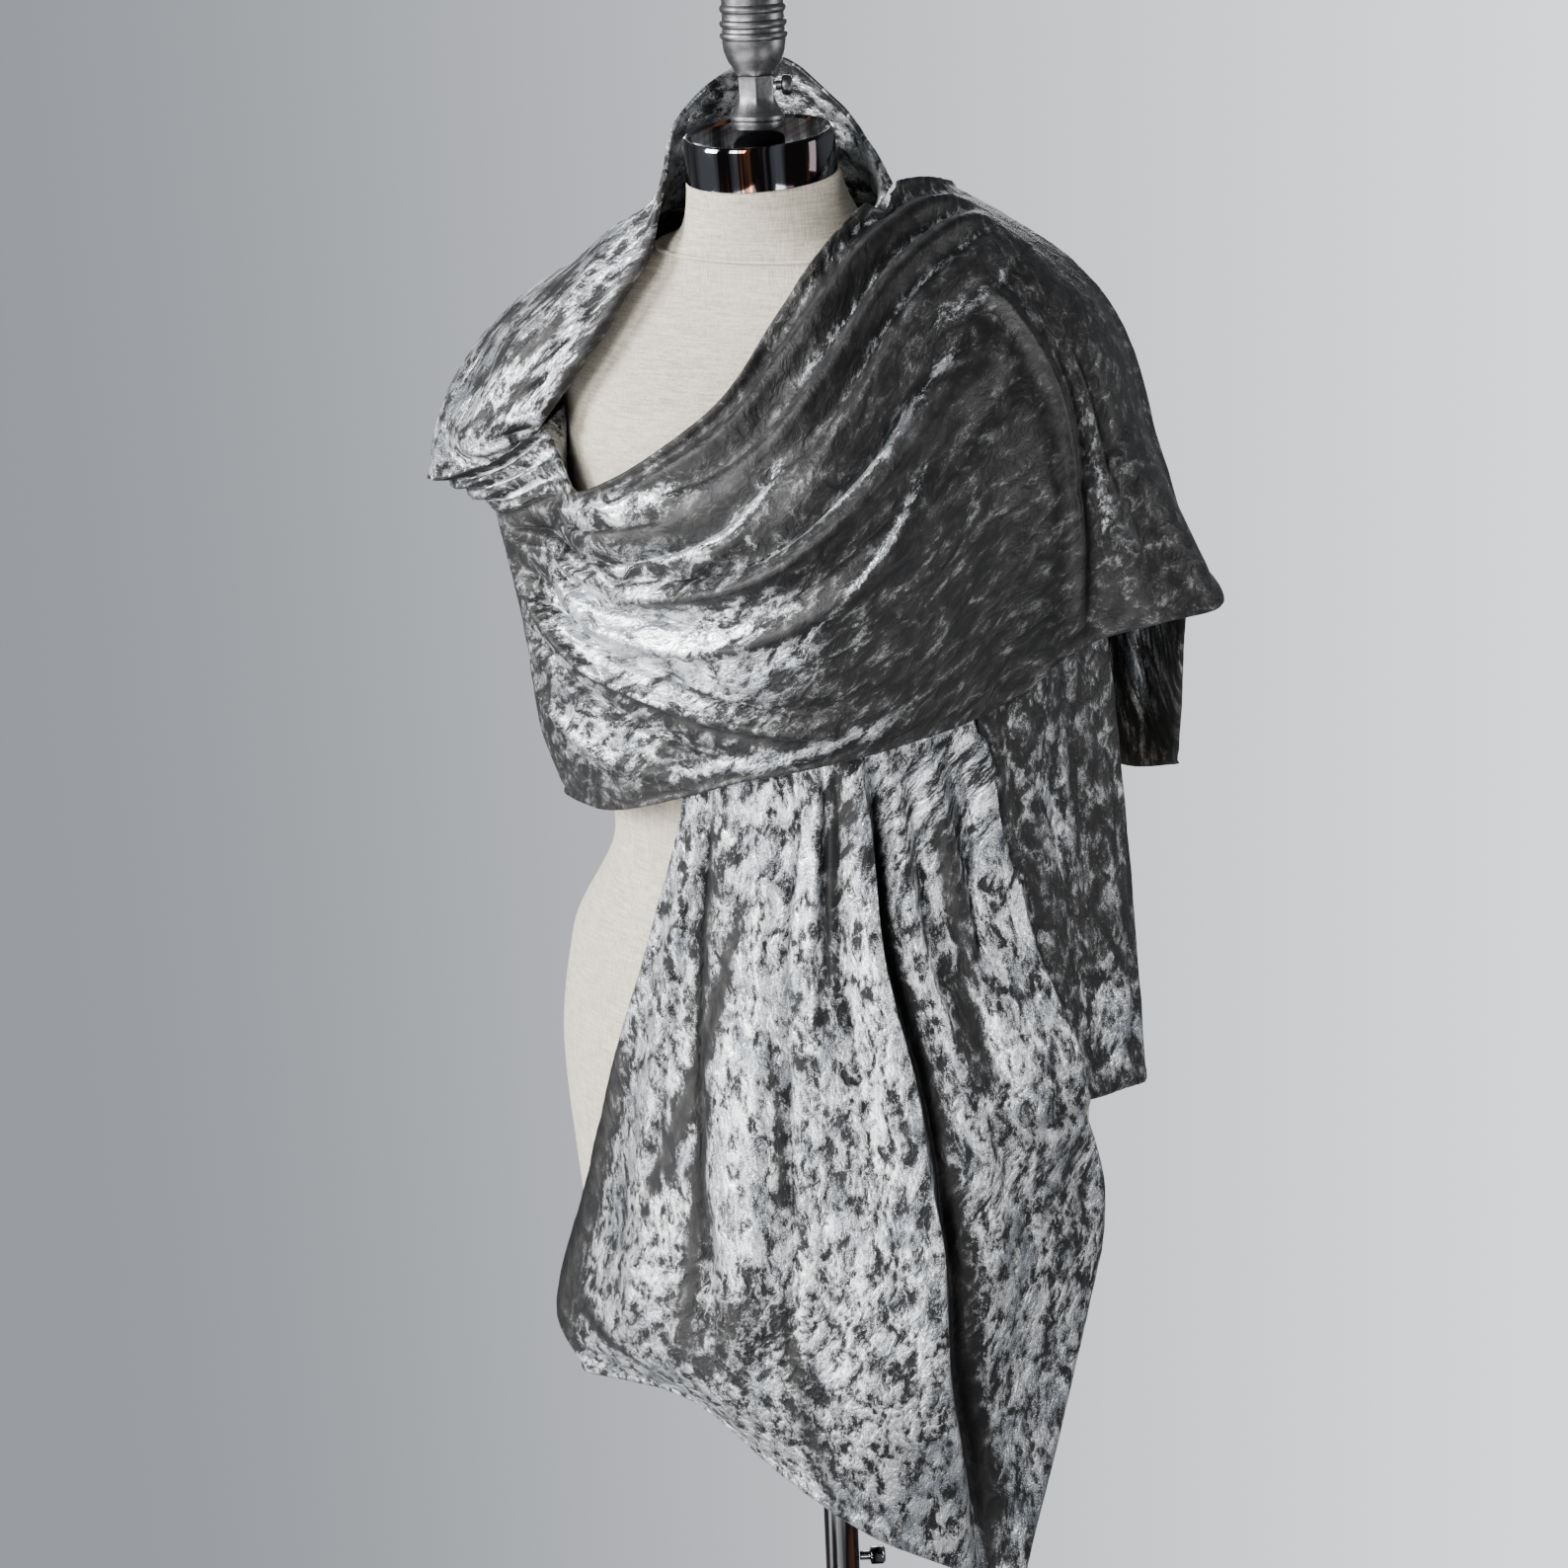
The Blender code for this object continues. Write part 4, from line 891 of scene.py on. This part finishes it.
# Side end: the near end of the stole hangs under the wrap at the form's left side.
# Sections run down: front edge, middle, rear edge.
SIDE_SECTIONS = (
    (160, -60, 1180, 184, -20, 1176, 194, 45, 1172),
    (160, -58, 1060, 190, -10, 1062, 208, 60, 1066),
    (164, -60, 955, 194, -8, 958, 217, 62, 962),
    (176, -60, 848, 208, -5, 846, 226, 62, 846),
    (184, -54, 758, 214, 2, 749, 233, 60, 743),
)
SIDE_FOLDS = (
    (0.10, 0.30, 0.50, 0.36, 0.95, 0.35, 12, 5),
    (0.20, 0.65, 0.60, 0.70, 0.95, 0.68, 12, -5),
    (0.15, 0.05, 0.40, 0.14, 0.62, 0.20, 5, 3),
    (0.20, 0.14, 0.42, 0.24, 0.60, 0.34, 4, -3),
    (0.30, 0.50, 0.55, 0.52, 0.85, 0.54, 7, -3),
    (0.40, 0.85, 0.60, 0.84, 0.90, 0.86, 8, 3),
)
SIDE_NAP = (
    (0.78, 0.70, 0.88, 0.75, 0.97, 0.85, 26, 0.12),
    (0.35, 0.45, 0.50, 0.50, 0.60, 0.55, 16, 0.07),
)
SIDE_ALONG = 144
SIDE_ACROSS = 56
side_sheet = dressed(laid_sheet(SIDE_SECTIONS, SIDE_ALONG, SIDE_ACROSS), SIDE_FOLDS,
                     outward=1, seed=4.0, size=22, depth=1.0, hems=("near", "far", "last"))
side_tree = sheet_tree(side_sheet, 1)

# Front end: from the left shoulder under the wrap down to the corner hem, widening into
# long pleats. Sections run down the stretch: inner edge to the edge over the side end.
FRONT_SECTIONS = (
    (70, -52, 1350, 84, -46, 1350, 98, -38, 1349, 112, -28, 1347, 128, -14, 1342),
    (45, -112, 1250, 75, -120, 1246, 105, -112, 1243, 130, -95, 1240, 155, -68, 1238),
    (8, -150, 1140, 45, -154, 1140, 85, -148, 1140, 120, -128, 1140, 152, -90, 1140),
    (-22, -132, 992, 25, -134, 1000, 75, -122, 1008, 120, -92, 1012, 162, -52, 1018),
    (-58, -128, 882, 5, -138, 884, 65, -136, 886, 125, -104, 888, 178, -32, 892),
    (-92, -128, 788, -10, -152, 780, 70, -150, 775, 148, -106, 772, 209, -14, 770),
    (-132, -112, 680, -30, -167, 668, 70, -167, 657, 160, -117, 657, 222, 8, 666),
    (-176, -96, 562, -60, -166, 582, 52, -174, 570, 140, -136, 552, 206, -18, 540),
    (-142, -116, 522, -30, -152, 539, 45, -158, 496, 112, -142, 452, 182, -62, 388),
)
FRONT_FOLDS = (
    (0.36, 0.06, 0.60, 0.12, 0.86, 0.22, 12, 9, 3),
    (0.38, 0.12, 0.60, 0.23, 0.83, 0.37, 4, -6),
    (0.46, 0.11, 0.60, 0.15, 0.78, 0.18, 5, -6),
    (0.36, 0.20, 0.60, 0.30, 0.86, 0.42, 12, 4, 2),
    (0.36, 0.33, 0.62, 0.37, 0.92, 0.42, 12, 7, 5),
    (0.37, 0.45, 0.61, 0.46, 0.88, 0.51, 3, -6),
    (0.36, 0.50, 0.45, 0.54, 0.52, 0.57, 3, -6),
    (0.36, 0.48, 0.46, 0.51, 0.58, 0.53, 4, 4, 2),
    (0.36, 0.545, 0.50, 0.60, 0.66, 0.62, 3, -5),
    (0.36, 0.575, 0.50, 0.63, 0.70, 0.65, 4, 4, 2),
    (0.36, 0.590, 0.53, 0.660, 0.76, 0.695, 8, 10, 12),
    (0.68, 0.675, 0.83, 0.735, 1.02, 0.90, 8, 10, 12),
    (0.36, 0.650, 0.53, 0.718, 0.76, 0.750, 6, -15),
    (0.68, 0.732, 0.83, 0.795, 1.02, 0.95, 6, -15),
    (0.36, 0.710, 0.52, 0.785, 0.78, 0.83, 6, 8),
    (0.38, 0.770, 0.46, 0.80, 0.56, 0.81, 6, -6),
    (0.36, 0.830, 0.48, 0.88, 0.66, 0.90, 6, 8),
    (0.37, 0.890, 0.45, 0.93, 0.56, 0.94, 5, -5),
    (0.62, 0.52, 0.75, 0.55, 0.94, 0.60, 14, -5),
    (0.60, 0.88, 0.76, 0.88, 0.92, 0.92, 14, -6),
    (0.70, 0.30, 0.80, 0.34, 0.88, 0.40, 8, -6),
)
# Nap and painted light: the first two rows paint the shadow beside the overlap crease, several others paint
# shade in valleys and troughs, and the last two paint highlights on ridges.
FRONT_NAP_AND_LIGHT = (
    (0.40, 0.67, 0.55, 0.725, 0.76, 0.752, 6, -0.28),
    (0.68, 0.735, 0.83, 0.80, 1.00, 0.95, 6, -0.28),
    (0.46, 0.29, 0.60, 0.235, 0.74, 0.16, 5, -0.26),
    (0.60, 0.27, 0.72, 0.28, 0.86, 0.33, 4, -0.20),
    (0.56, 0.40, 0.64, 0.44, 0.72, 0.45, 5, -0.12),
    (0.78, 0.46, 0.84, 0.52, 0.90, 0.55, 6, -0.10),
    (0.36, 0.12, 0.55, 0.20, 0.78, 0.33, 2.5, -0.22),
    (0.60, 0.00, 0.78, 0.005, 0.95, 0.02, 11, -0.34),
    (0.88, 0.52, 0.93, 0.58, 0.98, 0.62, 8, -0.10),
    (0.84, 0.06, 0.88, 0.13, 0.92, 0.22, 6, -0.28),
    (0.36, 0.555, 0.44, 0.56, 0.54, 0.56, 6, -0.14),
    (0.40, 0.83, 0.50, 0.86, 0.62, 0.83, 9, -0.17),
    (0.62, 0.92, 0.74, 0.95, 0.86, 0.97, 12, -0.04),
    (0.74, 0.40, 0.83, 0.38, 0.90, 0.34, 18, -0.08),
    (0.40, 0.15, 0.50, 0.19, 0.58, 0.22, 9, -0.10),
    (0.40, 0.40, 0.60, 0.38, 0.80, 0.30, 22, 0.05),
    (0.37, 0.80, 0.50, 0.85, 0.64, 0.90, 6, 0.10),
    (0.42, 0.615, 0.55, 0.665, 0.74, 0.70, 4, 0.07),
)
FRONT_ALONG = 300
FRONT_ACROSS = 144
front_sheet = dressed(laid_sheet(FRONT_SECTIONS, FRONT_ALONG, FRONT_ACROSS), FRONT_FOLDS,
                      outward=1, seed=5.0, size=20, depth=0.9, hems=("near", "far", "last"),
                      under=(side_tree,))
front_tree = sheet_tree(front_sheet, 1)

# Wrap: from the right flank across the bust, over the left shoulder as a loose wing, and
# down the left back. Sections run along the cloth: upper edge down to the hem.
WRAP_SECTIONS = (
    (-238, 46, 1212, -218, 22, 1156, -198, 0, 1100, -180, -8, 1028, -164, -12, 955),
    (-180, -98, 1170, -174, -92, 1125, -168, -86, 1070, -164, -82, 1012, -150, -76, 962),
    (-120, -116, 1188, -128, -120, 1142, -134, -118, 1084, -132, -112, 1020, -124, -100, 962),
    (-85, -130, 1194, -85, -140, 1147, -88, -138, 1088, -86, -132, 1030, -80, -128, 970),
    (-30, -134, 1224, -20, -154, 1162, -22, -150, 1098, -24, -144, 1040, -25, -140, 988),
    (15, -118, 1262, 35, -156, 1180, 35, -158, 1114, 32, -154, 1056, 28, -148, 1008),
    (38, -92, 1306, 75, -148, 1208, 88, -156, 1142, 85, -148, 1074, 78, -138, 1020),
    (60, -74, 1343, 105, -118, 1256, 135, -128, 1180, 138, -118, 1108, 130, -104, 1032),
    (76, -46, 1369, 126, -76, 1308, 170, -78, 1230, 182, -66, 1150, 172, -54, 1046),
    (90, -14, 1385, 148, -28, 1338, 200, -18, 1260, 212, -8, 1168, 210, 8, 1076),
    (97, 8, 1386, 160, 2, 1346, 216, -4, 1280, 239, 0, 1196, 268, 8, 1098),
    (102, 34, 1381, 165, 34, 1342, 214, 38, 1290, 239, 40, 1212, 297, 42, 1104),
    (100, 62, 1370, 160, 85, 1328, 205, 92, 1272, 228, 98, 1190, 258, 98, 1112),
    (90, 100, 1326, 138, 130, 1280, 182, 140, 1212, 208, 142, 1138, 236, 132, 1064),
    (70, 125, 1220, 112, 148, 1200, 156, 158, 1145, 196, 154, 1080, 230, 142, 1016),
    (58, 136, 960, 102, 152, 950, 150, 160, 946, 190, 155, 945, 226, 142, 955),
)
WRAP_FOLDS = (
    (0.18, 0.02, 0.45, 0.03, 0.76, 0.05, 7, 7),
    (0.24, 0.055, 0.47, 0.075, 0.72, 0.09, 3.5, -8),
    (0.22, 0.09, 0.47, 0.11, 0.72, 0.115, 6, 9, 7),
    (0.34, 0.145, 0.50, 0.170, 0.70, 0.165, 3.5, -9),
    (0.36, 0.185, 0.50, 0.21, 0.68, 0.20, 7, 6, 4),
    (0.40, 0.25, 0.52, 0.26, 0.68, 0.25, 5, -5),
    (0.08, 0.05, 0.22, 0.24, 0.40, 0.17, 6, 10, 6),
    (0.10, 0.14, 0.23, 0.31, 0.38, 0.25, 4, -8),
    (0.16, 0.29, 0.36, 0.32, 0.60, 0.36, 6, 10, 6),
    (0.18, 0.35, 0.36, 0.385, 0.58, 0.42, 6, -8),
    (0.14, 0.26, 0.30, 0.44, 0.53, 0.46, 7, 9, 6),
    (0.14, 0.34, 0.30, 0.53, 0.50, 0.56, 8, -8),
    (0.08, 0.20, 0.22, 0.50, 0.44, 0.86, 8, 9, 7),
    (0.08, 0.27, 0.20, 0.56, 0.45, 0.95, 4, -11),
    (0.09, 0.44, 0.22, 0.70, 0.36, 0.95, 7, 7, 4),
    (0.09, 0.60, 0.18, 0.80, 0.28, 0.95, 7, -6),
    (0.11, 0.10, 0.20, 0.13, 0.28, 0.17, 3.5, 5, 3),
    (0.11, 0.06, 0.21, 0.08, 0.30, 0.11, 3.5, -4),
    (0.09, 0.32, 0.16, 0.40, 0.26, 0.44, 3.5, 5, 3),
    (0.10, 0.37, 0.17, 0.46, 0.25, 0.50, 3, -4),
    (0.09, 0.13, 0.15, 0.22, 0.24, 0.30, 3.5, 5, 3),
    (0.53, 0.31, 0.61, 0.32, 0.72, 0.27, 5, 5, 2),
    (0.50, 0.52, 0.55, 0.48, 0.60, 0.44, 8, 5),
    (0.605, 0.26, 0.605, 0.60, 0.60, 0.99, 9, -13),
    (0.66, 0.40, 0.67, 0.70, 0.68, 0.95, 14, 7),
    (0.58, 0.66, 0.64, 0.72, 0.74, 0.70, 5, 4, 2),
    (0.62, 0.84, 0.68, 0.80, 0.73, 0.82, 6, -4),
    (0.84, 0.15, 0.90, 0.20, 0.99, 0.22, 14, 9, 4),
    (0.84, 0.42, 0.91, 0.45, 0.99, 0.48, 12, -9),
    (0.84, 0.66, 0.91, 0.70, 0.99, 0.72, 14, 9, 4),
    (0.78, 0.20, 0.80, 0.60, 0.80, 0.95, 10, -5),
)
# Nap and painted light: rows paint silver where the wrap catches the light and highlights along its ridges,
# painted shade in its troughs, and, in the last row, light onto the shaded tail of the back end.
WRAP_NAP_AND_LIGHT = (
    (0.00, 0.00, 0.00, 0.50, 0.00, 1.00, 70, 0.07),
    (0.10, 0.30, 0.22, 0.50, 0.40, 0.68, 85, 0.11),
    (0.14, 0.28, 0.26, 0.46, 0.42, 0.66, 28, 0.10),
    (0.15, 0.05, 0.22, 0.09, 0.29, 0.10, 14, 0.12),
    (0.13, 0.74, 0.19, 0.80, 0.26, 0.84, 24, 0.10),
    (0.26, 0.90, 0.36, 0.94, 0.46, 0.93, 9, 0.16),
    (0.34, 0.32, 0.46, 0.36, 0.57, 0.35, 3, 0.22),
    (0.39, 0.60, 0.46, 0.52, 0.51, 0.45, 3, 0.20),
    (0.22, 0.26, 0.32, 0.24, 0.40, 0.18, 6, 0.20),
    (0.12, 0.38, 0.22, 0.62, 0.40, 0.92, 4, -0.20),
    (0.20, 0.155, 0.28, 0.19, 0.36, 0.15, 6, -0.12),
    (0.53, 0.28, 0.59, 0.31, 0.66, 0.29, 3, 0.08),
    (0.24, 0.055, 0.47, 0.075, 0.72, 0.09, 3, -0.20),
    (0.34, 0.150, 0.50, 0.175, 0.70, 0.17, 3, -0.20),
    (0.18, 0.36, 0.38, 0.395, 0.58, 0.425, 3, -0.18),
    (0.24, 0.51, 0.36, 0.55, 0.50, 0.56, 4, -0.16),
    (0.40, 0.100, 0.55, 0.115, 0.72, 0.115, 2.5, 0.12),
    (0.45, 0.205, 0.56, 0.21, 0.70, 0.20, 2.5, 0.10),
    (0.44, 0.015, 0.60, 0.03, 0.76, 0.05, 2.5, 0.10),
    (0.605, 0.28, 0.605, 0.60, 0.60, 0.99, 5, -0.16),
    (0.64, 0.55, 0.64, 0.75, 0.65, 0.92, 12, 0.05),
    (0.82, 0.10, 0.88, 0.50, 0.98, 0.90, 60, 0.12),
)
WRAP_ALONG = 66 * FINE
wrap_sheet = dressed(laid_sheet(WRAP_SECTIONS, WRAP_ALONG, WRAP_ACROSS), WRAP_FOLDS,
                     outward=1, seed=6.0, size=24, depth=0.6, hems=("near", "far", "last"),
                     under=(back_tree, collar_tree, side_tree, front_tree),
                     joins=[("first", back_side[WRAP_ACROSS:], 36)])

# Pinch: the right shoulder's lower edge turns in under itself at the missing arm and
# gathers into the top of the wrap, with thin folds that fan out and an inner layer that
# closes it towards the form.
PINCH_ALONG = RIGHT_ACROSS
PINCH_ACROSS = 32
PINCH_TUCKS = ((0.06, 8 * MM), (0.34, 7 * MM), (0.67, 4 * MM))
PINCH_FOLDS = (
    (0.10, 0.28, 0.55, 0.28, 1.02, 0.22, 3, 4.5, 2),
    (0.15, 0.40, 0.55, 0.38, 1.02, 0.35, 2.5, -4),
    (0.20, 0.53, 0.60, 0.50, 1.02, 0.48, 3, 4.5, 2),
    (0.30, 0.66, 0.60, 0.63, 1.02, 0.62, 2.5, -4),
    (0.30, 0.80, 0.65, 0.76, 1.02, 0.78, 3, 4, 2),
)
# Nap and painted light: the first row paints shade in the crease along the upper edge, where it turns under; the
# others paint highlights along the ridges of the folds.
PINCH_NAP_AND_LIGHT = (
    (0.00, 0.02, 0.50, 0.04, 1.00, 0.04, 3, -0.30),
    (0.10, 0.27, 0.55, 0.27, 1.02, 0.21, 2, 0.20),
    (0.20, 0.52, 0.60, 0.49, 1.02, 0.47, 2, 0.20),
    (0.30, 0.79, 0.65, 0.75, 1.02, 0.77, 2, 0.20),
)
INNER_EDGE = ((-139, -64, 1236), (-135, -75, 1210), (-128, -86, 1190), (-112, -98, 1180))
INNER_ACROSS = 14
upper = right_sheet[-1][::-1]
lower = wrap_sheet[:PINCH_ALONG + 1, 0]
shares = np.linspace(0, 1, PINCH_ALONG + 1)
swing = np.sqrt(np.sin(math.pi * np.clip(shares, 0, 0.75)).clip(0))[:, None]
rows = [upper]
for part, depth in PINCH_TUCKS:
    middle = upper * (1 - part) + lower * part
    inward = -middle * (1, 1, 0)
    inward /= np.linalg.norm(inward, axis=1, keepdims=True)
    rows.append(middle + inward * depth * swing)
rows.append(lower)
pinch_sheet = along_curve(np.stack(rows), np.linspace(0, 1, PINCH_ACROSS + 1)).transpose(1, 0, 2)
pinch_sheet = laid_folds(pinch_sheet, PINCH_FOLDS, outward=1, seed=7.0, size=14, depth=0.5)
pinch_sheet = led_to(led_to(pinch_sheet, "near", upper, 3), "far", lower, 4)
inner_edge = along_curve((np.array(INNER_EDGE) + DRAPE_SHIFT) * MM,
                         np.linspace(0, 1, PINCH_ACROSS + 1))
reach = np.linspace(0, 1, INNER_ACROSS + 1)[:, None, None]
inner_sheet = pinch_sheet[-1][None] * (1 - reach) + inner_edge[None] * reach
inner_sheet = lifted(inner_sheet, form_tree, FOLD_CLEAR)

# The inner sheet of the pinch lies in shade beside the form; its high nap base of 0.50 paints it silver, which
# is painted light.
drape = velvet_piece("draped_velvet", [
    with_nap_and_light(collar, COLLAR_NAP_AND_LIGHT, 0.42),
    with_nap_and_light(back_sheet, BACK_NAP, 0.41),
    with_nap_and_light(right_sheet, RIGHT_NAP_AND_LIGHT, 0.42),
    with_nap_and_light(pinch_sheet, PINCH_NAP_AND_LIGHT, 0.38),
    with_nap_and_light(inner_sheet, (), 0.50),
], ["stole_collar", "stole_back", "stole_right_shoulder", "stole_pinch_fold"])
wrap = velvet_piece("wrap_velvet", [with_nap_and_light(wrap_sheet, WRAP_NAP_AND_LIGHT, 0.33)],
                    ["stole_front_wrap", "stole_left_shoulder", "stole_back_end"])
front = velvet_piece("front_end_velvet", [with_nap_and_light(front_sheet, FRONT_NAP_AND_LIGHT, 0.437)],
                     ["stole_front_drop", "stole_front_end"])
side = velvet_piece("side_end_velvet", [with_nap_and_light(side_sheet, SIDE_NAP, 0.36)], ["stole_side_end"])
